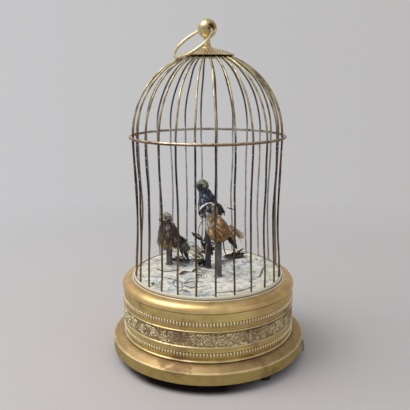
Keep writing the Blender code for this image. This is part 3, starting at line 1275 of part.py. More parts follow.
def make_bird(bird, x, y, post_length, heading, lean, head_forward, tail_slope, body_colour,
              head_colour):
    """Body, head, beak and tail in the bird's own frame: beak towards +X, perch at the origin."""
    perch = TRAY_HEIGHT + post_length
    spot = (x, y, perch, heading)
    make_post(bird, x, y, perch)
    make_push_rod(bird, x, y, perch)

    along, rump = body_axis(lean)
    shares = [0.0, 0.05, 0.14, 0.28, 0.44, 0.60, 0.75, 0.88, 0.96, 1.0]
    profile = [(egg_radius(s) if 0 < s < 1 else 0.0, s * BODY_LENGTH) for s in shares]
    body = turned(bird + "_body", profile, SMALL_STEPS, closed=False)
    body.data.transform(Matrix.Translation(rump) @ Matrix.Rotation(radians(lean), 4, "Y"))
    finish(body, body_colour, 0.9, 0.0)
    neck_top = HEAD_RISE - HEAD_FLAT - RUNNING_GAP
    neck = pin(bird + "_neck_guide", NECK_RADIUS, BODY_RISE, neck_top + SEAT_GAP)
    crop = pin(bird + "_crop_guide", 2 * BODY_RADIUS, neck_top, neck_top + BODY_LENGTH)
    peg = pin(bird + "_peg_guide", NECK_PIN_RADIUS, BODY_RISE, neck_top + NECK_PIN_LENGTH, steps=8)
    for guide in (neck, crop, peg):
        guide.location = (head_forward, 0, 0)
    belly = pin(bird + "_belly_guide", 2 * BODY_RADIUS, -BODY_LENGTH, SEAT_GAP)
    bore = pin(bird + "_bore_guide", POST_BORE, -BODY_LENGTH / 4, ROD_BODY_DEPTH + ROD_HEADROOM, steps=8)
    hinge = tail_hinge(lean)
    fan = fan_guide(bird + "_tail_guide", hinge, TAIL_HINGE_RADIUS + RUNNING_GAP,
                    TAIL_ROOT_WIDTH / 2 + RUNNING_GAP, 180.0 + tail_slope, -TAIL_SWING, 0.0,
                    BODY_RADIUS)
    for item in (body, neck, crop, peg, belly, bore, fan):
        place(item, *spot)
    add(body, neck)
    cut(body, crop)
    add(body, peg)
    for guide in (belly, bore, fan):
        cut(body, guide)

    tail = tongue(bird + "_tail", TAIL_HINGE_RADIUS, TAIL_LENGTH, TAIL_TIP_THICKNESS,
                  TAIL_ROOT_WIDTH, TAIL_TIP_WIDTH, 3.5 * TAIL_HINGE_RADIUS, tail_slope)
    tail.data.transform(Matrix.Rotation(pi, 4, "Z"))
    tail.location = hinge
    place(tail, *spot)
    finish(tail, body_colour, 0.9, 0.0)
    make_head(bird, spot, head_forward, head_colour)


def make_head(bird, spot, head_forward, colour):
    start = degrees(acos(HEAD_FLAT / HEAD_RADIUS)) - 90.0
    bore = NECK_PIN_RADIUS + RUNNING_GAP
    profile = [(0, NECK_PIN_LENGTH - HEAD_FLAT), (bore, NECK_PIN_LENGTH - HEAD_FLAT), (bore, -HEAD_FLAT)]
    rings = 5
    for index in range(rings):
        angle = radians(start + (90.0 - start) * index / rings)
        profile.append((HEAD_RADIUS * cos(angle), HEAD_RADIUS * sin(angle)))
    profile.append((0, HEAD_RADIUS))
    head = turned(bird + "_head", profile, SMALL_STEPS, closed=False)
    head.location = (head_forward, 0, HEAD_RISE)
    finish(head, colour, 0.9, 0.0)
    sink = HEAD_RADIUS / 2
    beak = turned(bird + "_upper_beak_guide", [(0, 0), (1.3 * BEAK_RADIUS, 0), (BEAK_RADIUS, sink),
                                               (0.5 * BEAK_RADIUS, sink + 0.6 * BEAK_LENGTH),
                                               (0, sink + BEAK_LENGTH)], 8, closed=False)
    beak.data.transform(Matrix.Rotation(pi / 2, 4, "Y"))
    beak.location = (head_forward + HEAD_RADIUS - sink, 0, HEAD_RISE)
    hinge = beak_hinge(head_forward)
    fan = fan_guide(bird + "_beak_guide", hinge, BEAK_HINGE_RADIUS + RUNNING_GAP,
                    BEAK_WIDTH / 2 + RUNNING_GAP, 0.0, -BEAK_SWING, 0.0, 2 * BEAK_LENGTH)
    lower = tongue(bird + "_beak", BEAK_HINGE_RADIUS, 0.85 * BEAK_LENGTH, BEAK_HINGE_RADIUS / 2,
                   BEAK_WIDTH, BEAK_WIDTH / 3, 2 * BEAK_HINGE_RADIUS, 0.0)
    lower.location = hinge
    for item in (head, beak, fan, lower):
        place(item, *spot)
    add(head, beak)
    cut(head, fan)
    finish(lower, BEAK_BLACK, 0.4, 0.0)


def build():
    clear_scene()
    make_plinth()
    make_drum_band()
    make_shoulder()
    make_foot_ring()
    make_tray()
    make_bottom_plate()
    make_feet()
    make_cage_wires()
    make_hoop()
    make_crown_cap()
    make_collar()
    make_finial()
    make_carrying_ring()
    make_movement_plates()
    make_barrel()
    make_winding_arbor()
    make_winding_key()
    make_click()
    make_cam_stack()
    make_fly()
    make_stop_lever()
    make_bellows()
    make_whistle()
    make_rocker()
    for bird in BIRDS:
        make_bird(*bird)


build()
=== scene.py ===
import json
import random
from math import asin, atan2, cos, degrees, exp, hypot, pi, radians, sin, sqrt

import bmesh
import bpy
from bpy.props import FloatProperty, FloatVectorProperty, IntProperty, PointerProperty
from mathutils import Matrix, Vector, noise


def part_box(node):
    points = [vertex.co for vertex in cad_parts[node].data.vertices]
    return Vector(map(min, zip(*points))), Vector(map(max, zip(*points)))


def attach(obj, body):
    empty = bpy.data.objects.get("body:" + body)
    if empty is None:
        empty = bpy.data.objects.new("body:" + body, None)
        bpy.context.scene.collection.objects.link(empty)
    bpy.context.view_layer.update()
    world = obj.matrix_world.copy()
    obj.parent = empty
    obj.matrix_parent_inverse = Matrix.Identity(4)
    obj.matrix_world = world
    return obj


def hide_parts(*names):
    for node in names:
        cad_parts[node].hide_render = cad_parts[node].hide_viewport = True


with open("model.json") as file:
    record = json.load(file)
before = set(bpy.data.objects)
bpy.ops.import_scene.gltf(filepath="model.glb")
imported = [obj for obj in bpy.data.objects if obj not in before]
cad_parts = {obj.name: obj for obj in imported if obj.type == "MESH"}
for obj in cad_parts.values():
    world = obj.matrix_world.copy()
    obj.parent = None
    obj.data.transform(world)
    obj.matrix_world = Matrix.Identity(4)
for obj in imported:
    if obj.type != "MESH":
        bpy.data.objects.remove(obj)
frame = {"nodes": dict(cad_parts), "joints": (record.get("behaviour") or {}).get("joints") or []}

bl_info = {
    "name": "Singing Bird Cage",
    "version": (1, 0, 0),
    "blender": (4, 5, 0),
    "location": "View3D > Sidebar > Bird Cage",
    "description": "Dresses the packed bird cage with brasswork, painted ground and feathered birds",
    "category": "Object",
}

# Sizes read from the frame, in metres. Azimuths count from -Y towards +X.
PLINTH_LOW, PLINTH_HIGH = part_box("plinth")
BAND_LOW, BAND_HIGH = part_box("drum_band")
SHOULDER_LOW, SHOULDER_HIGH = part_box("shoulder_moulding")
TRAY_LOW, TRAY_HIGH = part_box("ground_tray")
HOOP_LOW, HOOP_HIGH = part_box("cage_hoop")
CAP_LOW, CAP_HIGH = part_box("crown_cap")
COLLAR_LOW, COLLAR_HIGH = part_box("crown_collar")
FINIAL_LOW, FINIAL_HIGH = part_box("finial")
JOINTS = {joint["name"]: joint for joint in frame["joints"]}
BIRD_NAMES = ("brown_bird", "tawny_bird", "blue_bird")

PLINTH_RADIUS = PLINTH_HIGH.x
PLINTH_RIM_TOP = PLINTH_LOW.z + 0.0093
SHEET = 0.0012
BAND_HEIGHT = 0.0381
BAND_RADIUS = BAND_HIGH.x - 0.0009
PANEL_RADIUS = BAND_RADIUS + 0.0003
SHOULDER_RADIUS = SHOULDER_HIGH.x
LIP_RADIUS = SHOULDER_RADIUS - 0.0084
LIP_INNER = LIP_RADIUS - 0.0009
TRAY_RADIUS = TRAY_HIGH.x
TRAY_TOP = TRAY_HIGH.z
HOOP_HEIGHT = (HOOP_LOW.z + HOOP_HIGH.z) / 2
SEAT_GAP = 0.0003
FINIAL_SEAT = CAP_HIGH.z + SEAT_GAP
BALL_RADIUS = 0.0074
BALL_HEIGHT = FINIAL_HIGH.z - BALL_RADIUS
MERGE = 0.000001
LEVER_SWING = 12.0
SEAM_AZIMUTH = 4.4


def band_height(share):
    return BAND_LOW.z + share * BAND_HEIGHT


# Heights on the drum of the two lines and of the strips under the beads
LOW_LINE = band_height(0.315)
HIGH_LINE = band_height(0.651)
LOW_BEADS = (band_height(0.105), band_height(0.215))
HIGH_BEADS = (band_height(0.745), band_height(0.845))

# Cage wires
BAR_COUNT = 26
BAR_PHASE = -2.65
BAR_PITCH = 360.0 / BAR_COUNT
BAR_RADIUS = 0.00076
BAR_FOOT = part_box("cage_foot_ring")[1].z + SEAT_GAP
BAR_FOOT_CIRCLE = TRAY_RADIUS - 0.0020
WAIST_CIRCLE = BAR_FOOT_CIRCLE - 0.0020
WAIST_HEIGHT = TRAY_TOP + 0.0490
HOOP_CIRCLE = BAR_FOOT_CIRCLE - 0.0003
DOME_RISE = 0.0643
HAIRPIN_CIRCLE = 0.0110
HAIRPIN_BEND = 0.0013

# Place of the photograph's view
VIEW_AZIMUTH = -22.0
VIEW_DISTANCE = 0.4515
VIEW_HEIGHT = 0.22777
VIEW_PITCH = 12.868
VIEW_YAW = -0.284
VIEW_ROLL = -0.237
FOCAL_SHARE = 564.7 / 410.0
SENSOR_WIDTH = 36.0


def polar(radius, azimuth, height=0.0):
    """Point at an azimuth in degrees, counted from -Y towards +X."""
    angle = radians(azimuth)
    return Vector((radius * sin(angle), -radius * cos(angle), height))


def smooth(low, high, value):
    """Smooth step from 0 to 1."""
    share = min(max((value - low) / (high - low), 0.0), 1.0)
    return share * share * (3.0 - 2.0 * share)


def shares(count):
    """Even steps from 0 to 1, both ends included."""
    return [index / (count - 1) for index in range(count)]


def footprint(name):
    """Middle of a built piece, seen from above."""
    low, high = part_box(name)
    return (low.x + high.x) / 2, (low.y + high.y) / 2


def turned_onto(x, y, z):
    """Turns the three axes onto these directions."""
    return Matrix((x, y, z)).transposed().to_4x4()


# Modelling helpers

def deselect():
    if bpy.context.object and bpy.context.object.mode != "OBJECT":
        bpy.ops.object.mode_set(mode="OBJECT")
    bpy.ops.object.select_all(action="DESELECT")


def pick(item):
    deselect()
    item.select_set(True)
    bpy.context.view_layer.objects.active = item


def open_edit(item):
    pick(item)
    bpy.ops.object.mode_set(mode="EDIT")
    bpy.ops.mesh.select_all(action="SELECT")


def close_edit():
    bpy.ops.object.mode_set(mode="OBJECT")


def clean(item, crease=35.0):
    """Merges doubles, turns the faces outwards and shades by angle."""
    open_edit(item)
    bpy.ops.mesh.remove_doubles(threshold=MERGE)
    bpy.ops.mesh.normals_make_consistent(inside=False)
    close_edit()
    bpy.ops.object.shade_smooth_by_angle(angle=radians(crease))
    return item


def fresh(name, add, **settings):
    """New object from one of Blender's add operators."""
    deselect()
    add(**settings)
    bpy.context.object.name = name
    return bpy.context.object


def link(name, data):
    """New object that shows a mesh or curve."""
    item = bpy.data.objects.new(name, data)
    bpy.context.scene.collection.objects.link(item)
    return item


def sphere(name, segments, rings, radius=0.5):
    return fresh(name, bpy.ops.mesh.primitive_uv_sphere_add, segments=segments, ring_count=rings,
                 radius=radius)


def settle():
    """Puts the active object's place, turn and size into its mesh."""
    bpy.ops.object.transform_apply(location=True, rotation=True, scale=True)


def draw_out(name, points):
    """One vertex drawn out from point to point, left in edit mode."""
    item = fresh(name, bpy.ops.mesh.primitive_plane_add, size=0.001)
    bpy.ops.object.mode_set(mode="EDIT")
    bpy.ops.mesh.select_all(action="SELECT")
    bpy.ops.mesh.merge(type="CENTER")
    here = Vector(points[0])
    bpy.ops.transform.translate(value=here)
    for point in points[1:]:
        step = Vector(point) - here
        bpy.ops.mesh.extrude_vertices_move(TRANSFORM_OT_translate={"value": step})
        here = Vector(point)
    return item


def turn(name, profile, steps, crease=35.0):
    """Profile of (radius, height) points spun about Z."""
    item = draw_out(name, [(r, 0.0, z) for r, z in profile])
    bpy.ops.mesh.select_all(action="SELECT")
    bpy.ops.mesh.spin(steps=steps, angle=2 * pi, center=(0, 0, 0), axis=(0, 0, 1))
    close_edit()
    return clean(item, crease)


def bow(cx, cz, radius, start, end, count, squash=1.0):
    """Points on an arc, angles in degrees, both ends included."""
    angles = [radians(start + (end - start) * i / (count - 1)) for i in range(count)]
    return [(cx + radius * cos(a), cz + squash * radius * sin(a)) for a in angles]


def ring_of(item, count):
    """Copies the piece's mesh round the Z axis, count in all."""
    open_edit(item)
    bpy.ops.mesh.spin(steps=count, angle=2 * pi, center=(0, 0, 0), axis=(0, 0, 1), dupli=True)
    bpy.ops.mesh.select_all(action="SELECT")
    bpy.ops.mesh.remove_doubles(threshold=MERGE)
    close_edit()


def apply_modifiers(item):
    pick(item)
    for modifier in list(item.modifiers):
        bpy.ops.object.modifier_apply(modifier=modifier.name)


def cut(item, tool):
    """Takes the tool's shape out of the piece."""
    modifier = item.modifiers.new("cut", "BOOLEAN")
    modifier.operation = "DIFFERENCE"
    modifier.solver = "EXACT"
    modifier.object = tool
    apply_modifiers(item)
    bpy.data.objects.remove(tool)


def join(name, items):
    deselect()
    for item in items:
        item.select_set(True)
    bpy.context.view_layer.objects.active = items[0]
    if len(items) > 1:
        bpy.ops.object.join()
    items[0].name = name
    return items[0]


def wire(name, points, radius, sides, widths=None):
    """Round wire along points, made a mesh."""
    curve = bpy.data.curves.new(name, "CURVE")
    curve.dimensions = "3D"
    curve.bevel_depth = radius
    curve.bevel_resolution = sides
    curve.use_fill_caps = True
    spline = curve.splines.new("POLY")
    spline.points.add(len(points) - 1)
    for index, point in enumerate(points):
        spline.points[index].co = (*point, 1.0)
        spline.points[index].radius = widths[index] if widths else 1.0
    pick(link(name, curve))
    bpy.ops.object.convert(target="MESH")
    bpy.ops.object.shade_smooth()
    return bpy.context.object


def scatter(name, template, placements):
    """One mesh of many placed copies of a template, each (matrix, tint), with its UV map and tint."""
    source = template.data
    corners = [source.uv_layers.active.data[i].uv.copy() for i in range(len(source.loops))]
    verts = []
    faces = []
    tints = []
    for matrix, tint in placements:
        base = len(verts)
        verts += [matrix @ v.co for v in source.vertices]
        faces += [[base + i for i in face.vertices] for face in source.polygons]
        tints += [(*tint, 1.0)] * len(source.vertices)
    mesh = bpy.data.meshes.new(name)
    mesh.from_pydata(verts, [], faces)
    layer = mesh.uv_layers.new(name="blade")
    layer.data.foreach_set("uv", [x for _ in placements for uv in corners for x in uv])
    attribute = mesh.color_attributes.new("tint", "FLOAT_COLOR", "POINT")
    attribute.data.foreach_set("color", [x for tint in tints for x in tint])
    mesh.shade_smooth()
    return link(name, mesh)


def coat(item, finish):
    item.data.materials.clear()
    item.data.materials.append(FINISHES[finish])


def seat(item, slot, finish, *nodes, body="housing", perch=None):
    """Puts the place into the mesh, gives the finish and fastens the piece to its body."""
    if perch:
        item.data.transform(perch)
    pick(item)
    settle()
    coat(item, finish)
    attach(item, body)
    if nodes:
        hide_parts(*nodes)


# Finishes

class Chain:
    """Small chains of nodes in a material's tree or the world's."""

    def __init__(self, tree):
        self.tree = tree

    def node(self, kind, **inputs):
        """New node. An input is given by its name or, as in i0, by its number."""
        made = self.tree.nodes.new(kind)
        for key, value in inputs.items():
            socket = made.inputs[int(key[1:])] if key[0] == "i" and key[1:].isdigit() else made.inputs[key]
            self.feed(socket, value)
        return made

    def feed(self, socket, value):
        if isinstance(value, bpy.types.NodeSocket):
            self.tree.links.new(value, socket)
        else:
            socket.default_value = value

    def math(self, operation, a, b=0.0):
        made = self.node("ShaderNodeMath", i0=a, i1=b)
        made.operation = operation
        return made.outputs[0]

    def times(self, a, b):
        return self.math("MULTIPLY", a, b)

    def plus(self, a, b):
        return self.math("ADD", a, b)

    def minus(self, a, b):
        return self.math("SUBTRACT", a, b)

    def span(self, value, start, end):
        """0 at start and 1 at end, held outside them."""
        return self.node("ShaderNodeMapRange", i0=value, i1=start, i2=end).outputs[0]

    def window(self, value, low, high, soft):
        """1 between low and high, with soft ends."""
        rise = self.span(value, low - soft, low + soft)
        return self.times(rise, self.span(value, high + soft, high - soft))

    def mix(self, factor, a, b, blend="MIX"):
        made = self.tree.nodes.new("ShaderNodeMix")
        made.data_type = "RGBA"
        made.blend_type = blend
        self.feed(made.inputs[0], factor)
        for number, value in ((6, a), (7, b)):
            self.feed(made.inputs[number], (*value, 1.0) if isinstance(value, tuple) else value)
        return made.outputs[2]

    def looked_at(self):
        """1 for what the camera sees, in a mirror or through glass too, 0 for light that falls on things."""
        rays = self.node("ShaderNodeLightPath").outputs
        mirrored = self.math("MAXIMUM", rays["Is Glossy Ray"], rays["Is Transmission Ray"])
        return self.math("MAXIMUM", rays["Is Camera Ray"], mirrored)


class Finish(Chain):
    """A Principled material fed by small chains of nodes on Object coordinates."""

    def __init__(self, name, metallic=0.0, **sockets):
        self.material = bpy.data.materials.new(name)
        self.material.use_nodes = True
        super().__init__(self.material.node_tree)
        self.shader = self.tree.nodes["Principled BSDF"]
        self.shader.inputs["Metallic"].default_value = metallic
        for socket, value in sockets.items():
            self.shader.inputs[socket.replace("_", " ").title()].default_value = value
        self.place = self.node("ShaderNodeTexCoord").outputs["Object"]

    def stretched(self, scale):
        """Object coordinates scaled apart along each axis."""
        made = self.node("ShaderNodeVectorMath", i0=self.place, i1=scale)
        made.operation = "MULTIPLY"
        return made.outputs[0]

    def noise(self, scale, detail=4.0, roughness=0.55, vector=None):
        made = self.node("ShaderNodeTexNoise", Scale=scale, Detail=detail, Roughness=roughness)
        self.tree.links.new(vector or self.place, made.inputs["Vector"])
        return made.outputs["Fac"]

    def ramp(self, source, *stops):
        """Colour or value ramp. Each stop is (place, value or colour)."""
        made = self.node("ShaderNodeValToRGB", Fac=source)
        ramp = made.color_ramp
        while len(ramp.elements) < len(stops):
            ramp.elements.new(0.5)
        for element, (place, value) in zip(ramp.elements, stops):
            element.position = place
            element.color = (*value, 1.0) if isinstance(value, tuple) else (value, value, value, 1.0)
        return made.outputs["Color"]

    def patches(self, low, high, scale, detail=4.0, roughness=0.55, vector=None, full=1.0):
        """Cloudy patches of noise: 0 below low, full above high."""
        return self.ramp(self.noise(scale, detail, roughness, vector), (low, 0.0), (high, full))

    def parts(self):
        """The three object coordinates, taken apart."""
        return self.node("ShaderNodeSeparateXYZ", Vector=self.place).outputs

    def along(self, x, y):
        """Distance along a level direction."""
        parts = self.parts()
        return self.plus(self.times(parts[0], x), self.times(parts[1], y))

    def across(self, x=0.0, y=0.0):
        """Level distance from an upright line at x, y."""
        parts = self.parts()
        run = self.minus(parts[0], x)
        rise = self.minus(parts[1], y)
        return self.math("SQRT", self.plus(self.times(run, run), self.times(rise, rise)))

    def height(self):
        return self.parts()[2]

    def uneven(self, scale, detail, amount):
        """Height that strays a little, so that no edge of colour is dead level."""
        return self.plus(self.height(), self.times(self.minus(self.noise(scale, detail), 0.5), amount))

    def colour(self, value):
        self.base = value
        self.feed(self.shader.inputs["Base Color"], value)

    def lay(self, mask, colour, strength=1.0):
        """Lays a colour over the one that is there, as far as the mask goes."""
        if strength < 1.0:
            mask = self.times(mask, strength)
        self.colour(self.mix(mask, self.base, colour))

    def roughness(self, value):
        self.feed(self.shader.inputs["Roughness"], value)

    def rough_patches(self, scale, detail, *stops):
        self.roughness(self.ramp(self.noise(scale, detail), *stops))

    def bump(self, height, strength, distance):
        made = self.node("ShaderNodeBump", Strength=strength, Distance=distance, Height=height)
        self.feed(self.shader.inputs["Normal"], made.outputs[0])


def old_brass(name, face, shade, cover, dull, drag=(1.0, 1.0, 1.0), bands=(), grain=1.0, lip=0.0, lace=None):
    """Worn satin brass with brown stains, bands of height in another colour, a pale lip painted as a
    highlight and a lacy zone.
    """
    finish = Finish(name, metallic=1.0)
    tarnish = tone("tarnish")
    finish.colour(finish.mix(finish.patches(0.34, 0.66, 17.0, 3.0, 0.5), face, shade))
    level = finish.uneven(160.0, 4.0, 0.0004)
    for low, high, soft, strength, tint in bands:
        finish.lay(finish.window(level, low, high, soft), tint, strength)
    # Painted highlight on the lip: inside its radius the brass is laid pale cream and made mostly
    # non-metallic, so it reads as a bright line.
    if lip:
        inside = finish.span(finish.across(), lip + 0.0001, lip - 0.0001)
        finish.lay(inside, (0.93, 0.88, 0.72))
        finish.feed(finish.shader.inputs["Metallic"], finish.minus(1.0, finish.times(inside, 0.8)))
    if lace:
        low, high, tint = lace
        pattern = finish.patches(0.50, 0.56, 560.0, 2.0, 0.5, full=0.9)
        finish.lay(finish.times(finish.window(level, low, high, 0.0002), pattern), tint)
    edge = 1.0 - cover
    stain = finish.ramp(finish.noise(33.0 * grain, 7.0, 0.58, finish.stretched(drag)),
                        (edge, 0.0), (edge + 0.05, 0.62), (edge + 0.20, 1.0))
    finish.lay(stain, tarnish, 0.75)
    mottle = finish.ramp(finish.noise(120.0 * grain, 6.0, 0.6), (0.30, 0.82), (0.72, 1.10))
    finish.colour(finish.mix(1.0, finish.base, mottle, "MULTIPLY"))
    finish.lay(finish.patches(0.66, 0.71, 480.0, 3.0, 0.7, full=0.6), tarnish)
    rough = finish.ramp(finish.noise(60.0, 6.0, 0.6), (0.25, dull - 0.06), (0.75, dull + 0.06))
    finish.roughness(finish.mix(stain, rough, (dull + 0.17,) * 3))
    dents = finish.plus(finish.times(finish.noise(55.0, 2.0), 3.0),
                        finish.times(finish.noise(380.0, 4.0, 0.6), 0.5))
    finish.bump(dents, 0.10, 0.0004)
    return finish.material


def behind(finish):
    """1 on the far side of the cage as the camera looks, where the brass is painted grey as light and shade,
    0 on the near side.
    """
    turned = radians(-VIEW_AZIMUTH)
    return finish.span(finish.along(sin(turned), cos(turned)), 0.004, 0.034)


def wire_brass():
    """Drawn brass wire: brown under the hoop, yellow on the dome, grey on the far side as painted light and
    shade, with pale worn patches.
    """
    finish = Finish("drawn_brass_wire", metallic=0.85)
    level = finish.uneven(60.0, 3.0, 0.030)
    patchy = finish.patches(0.38, 0.64, 130.0, 5.0)
    dome = finish.span(level, HOOP_HEIGHT - 0.004, HOOP_HEIGHT + 0.014)
    finish.colour(finish.mix(patchy, (0.040, 0.024, 0.017), (0.125, 0.082, 0.050)))
    finish.lay(finish.span(level, TRAY_TOP + 0.065, TRAY_TOP + 0.008),
               finish.mix(patchy, (0.12, 0.080, 0.036), (0.27, 0.20, 0.10)))
    finish.lay(dome, finish.mix(patchy, (0.56, 0.49, 0.30), (0.20, 0.145, 0.080)))
    # Painted light and shade on the far side: paler grey on the walls, darker grey in the dome.
    grey = finish.mix(dome, finish.mix(patchy, (0.64, 0.64, 0.62), (0.34, 0.335, 0.32)),
                      finish.mix(patchy, (0.105, 0.110, 0.110), (0.055, 0.056, 0.054)))
    finish.lay(behind(finish), grey, 0.88)
    band = finish.window(level, HOOP_HEIGHT - 0.046, HOOP_HEIGHT + 0.016, 0.012)
    flakes = finish.patches(0.60, 0.65, 520.0, 4.0, 0.7, full=0.8)
    finish.lay(finish.times(band, flakes), (0.80, 0.78, 0.70))
    finish.rough_patches(240.0, 5.0, (0.30, 0.30), (0.75, 0.55))
    finish.bump(finish.noise(700.0, 5.0, 0.6), 0.2, 0.0002)
    return finish.material


def hoop_brass():
    """Hoop strip: tan with brown stains in front, grey on the far side as painted light and shade, its upper
    edge pale from rubbed wear and a painted highlight.
    """
    finish = Finish("hoop_brass", metallic=0.9)
    patchy = finish.patches(0.36, 0.64, 70.0, 5.0)
    finish.colour(finish.mix(patchy, (0.32, 0.205, 0.110), (0.12, 0.066, 0.038)))
    # Painted light and shade: the far side of the hoop is laid grey.
    finish.lay(behind(finish), finish.mix(patchy, (0.50, 0.48, 0.40), (0.20, 0.19, 0.16)))
    # Pale line along the upper edge, broken by noise: rubbed wear and a painted highlight.
    wear_and_highlight = finish.span(finish.height(), HOOP_HEIGHT + 0.0003, HOOP_HEIGHT + 0.0009)
    broken = finish.ramp(finish.noise(170.0, 5.0), (0.40, 0.15), (0.60, 1.0))
    finish.lay(finish.times(wear_and_highlight, broken), (0.82, 0.74, 0.56))
    finish.rough_patches(140.0, 5.0, (0.30, 0.30), (0.75, 0.50))
    finish.bump(finish.noise(500.0, 5.0, 0.6), 0.2, 0.0002)
    return finish.material


# Painted circles round each post: brown, tawny and blue bird
POST_CIRCLES = ((0.0104, 0.0120), (0.0098, 0.0124, 0.0137), (0.0085,))


def ground_paint():
    """Old paint on embossed tin: cream with blue-grey clouds, white crust, an olive edge, dirty folds and
    painted shade round each post.
    """
    finish = Finish("old_ground_paint")
    radius = finish.across()
    height = finish.height()
    clouds = finish.patches(0.38, 0.62, 38.0, 5.0, 0.6)
    finish.colour(finish.mix(clouds, (0.80, 0.775, 0.66), (0.47, 0.52, 0.54)))
    finish.lay(finish.patches(0.47, 0.53, 130.0, 7.0, 0.66), (0.93, 0.92, 0.85), 0.90)
    moss = finish.times(finish.span(radius, 0.040, 0.060), finish.patches(0.40, 0.58, 85.0, 6.0))
    finish.lay(moss, (0.62, 0.56, 0.30), 0.55)
    broken = finish.patches(0.38, 0.50, 95.0, 5.0)
    for (x, y), circles in zip(post_spots(), POST_CIRCLES):
        reach = finish.across(x, y)
        for circle in circles:
            line = finish.window(reach, circle - 0.00018, circle + 0.00018, 0.00016)
            finish.lay(finish.times(line, broken), (0.075, 0.068, 0.058))
        # Painted shade round the foot of each post: blue-grey, broken by noise.
        painted_post_shade = finish.patches(0.40, 0.60, 260.0, 6.0, full=0.8)
        finish.lay(finish.times(finish.span(reach, 0.0075, 0.0030), painted_post_shade), (0.10, 0.11, 0.115))
    folds = finish.span(height, TRAY_TOP - 0.00055, TRAY_TOP - 0.00080)
    dirt = finish.ramp(finish.noise(300.0, 6.0), (0.30, 0.35), (0.55, 1.0))
    finish.lay(finish.times(folds, dirt), (0.060, 0.052, 0.042))
    finish.lay(finish.patches(0.605, 0.640, 300.0, 5.0, 0.75, full=0.9), (0.13, 0.12, 0.095))
    groove = finish.window(radius, TRAY_RADIUS - 0.00170, TRAY_RADIUS - 0.00105, 0.00015)
    finish.lay(groove, (0.15, 0.125, 0.055))
    bead = finish.span(radius, TRAY_RADIUS - 0.00100, TRAY_RADIUS - 0.00085)
    finish.lay(bead, (0.84, 0.80, 0.66))
    skirt = finish.span(height, TRAY_TOP - 0.0013, TRAY_TOP - 0.0021)
    finish.lay(finish.times(skirt, bead), (0.34, 0.27, 0.14))
    finish.rough_patches(120.0, 5.0, (0.30, 0.45), (0.70, 0.75))
    finish.bump(finish.noise(330.0, 6.0, 0.62), 0.9, 0.0006)
    return finish.material


def plain_finish(name, light, dark, metallic, dull, scale, bump=0.15, stretch=(1.0, 1.0, 1.0)):
    """Two shades in clouds, for steel, tube, wood, leather and enamel."""
    finish = Finish(name, metallic=metallic)
    vector = finish.stretched(stretch)
    finish.colour(finish.mix(finish.patches(0.32, 0.68, scale, 6.0, 0.6, vector), light, dark))
    finish.rough_patches(scale * 2.3, 5.0, (0.3, dull - 0.08), (0.7, dull + 0.10))
    finish.bump(finish.noise(scale * 9.0, 5.0, 0.6, vector), bump, 0.0003)
    return finish.material


def plumage(name, sheen=0.25):
    """Feathers: the tint of each blade, a dark shaft, slanting barbs and frayed pale edges."""
    finish = Finish(name, sheen_weight=sheen, roughness=0.78)
    tint = finish.node("ShaderNodeVertexColor")
    tint.layer_name = "tint"
    chart = finish.node("ShaderNodeUVMap")
    chart.uv_map = "blade"
    parts = finish.node("ShaderNodeSeparateXYZ", Vector=chart.outputs[0])
    across = finish.math("ABSOLUTE", finish.minus(parts.outputs[0], 0.5))
    slant = finish.plus(parts.outputs[1], finish.times(across, -0.9))
    barbs = finish.math("SINE", finish.times(slant, 110.0))
    streak = finish.ramp(finish.noise(420.0, 5.0, 0.65), (0.34, 0.35), (0.66, 1.75))
    finish.colour(finish.mix(1.0, tint.outputs[0], streak, "MULTIPLY"))
    finish.lay(finish.math("LESS_THAN", across, 0.055), (0.05, 0.04, 0.03), 0.45)
    fringe = finish.ramp(across, (0.36, 0.0), (0.50, 0.25))
    finish.lay(fringe, finish.mix(0.5, tint.outputs[0], (0.42, 0.38, 0.32)))
    finish.bump(barbs, 0.35, 0.0001)
    return finish.material


# Sizes and colours that a user would change

def length(name, description, value):
    return FloatProperty(name=name, description=description, default=value, unit="LENGTH")


def swatch(name, description, value):
    return FloatVectorProperty(name=name, description=description, default=value, subtype="COLOR")


class BirdCageSizes(bpy.types.PropertyGroup):
    steps: IntProperty(name="Turning steps", description="Facets round each turned piece", default=192)
    bead_count: IntProperty(name="Beads", description="Beads in each row of the drum", default=176)
    bead_width: length("Bead width", "Width of one bead", 0.00170)
    bead_height: length("Bead height", "Height of one bead", 0.0033)
    scroll_count: IntProperty(name="Scrolls", description="Repeats of the foliage frieze", default=20)
    relief: length("Relief", "Depth of the ground's embossing", 0.0005)
    feather_rows: IntProperty(name="Feather rows", description="Rows of feathers on a body", default=24)
    wire_wander: length("Wire wander", "How far a hand-bent bar strays", 0.00045)


class BirdCageColours(bpy.types.PropertyGroup):
    face: swatch("Brass", "Bright face of the turned brass", (0.78, 0.56, 0.26))
    shade: swatch("Brass shade", "Deeper clouds in the brass", (0.62, 0.41, 0.17))
    olive: swatch("Sheet brass", "Dull pressed sheet of the drum and rim", (0.63, 0.49, 0.17))
    tarnish: swatch("Tarnish", "Brown tarnish on all brass", (0.25, 0.14, 0.08))
    dirt: swatch("Dirt", "Old dirt in the hollows of the drum", (0.17, 0.11, 0.055))
    floor: swatch("Floor", "Colour of the plain floor", (0.53, 0.50, 0.495))


def sizes():
    return bpy.context.scene.bird_cage_sizes


def tone(name):
    return tuple(getattr(bpy.context.scene.bird_cage_colours, name))


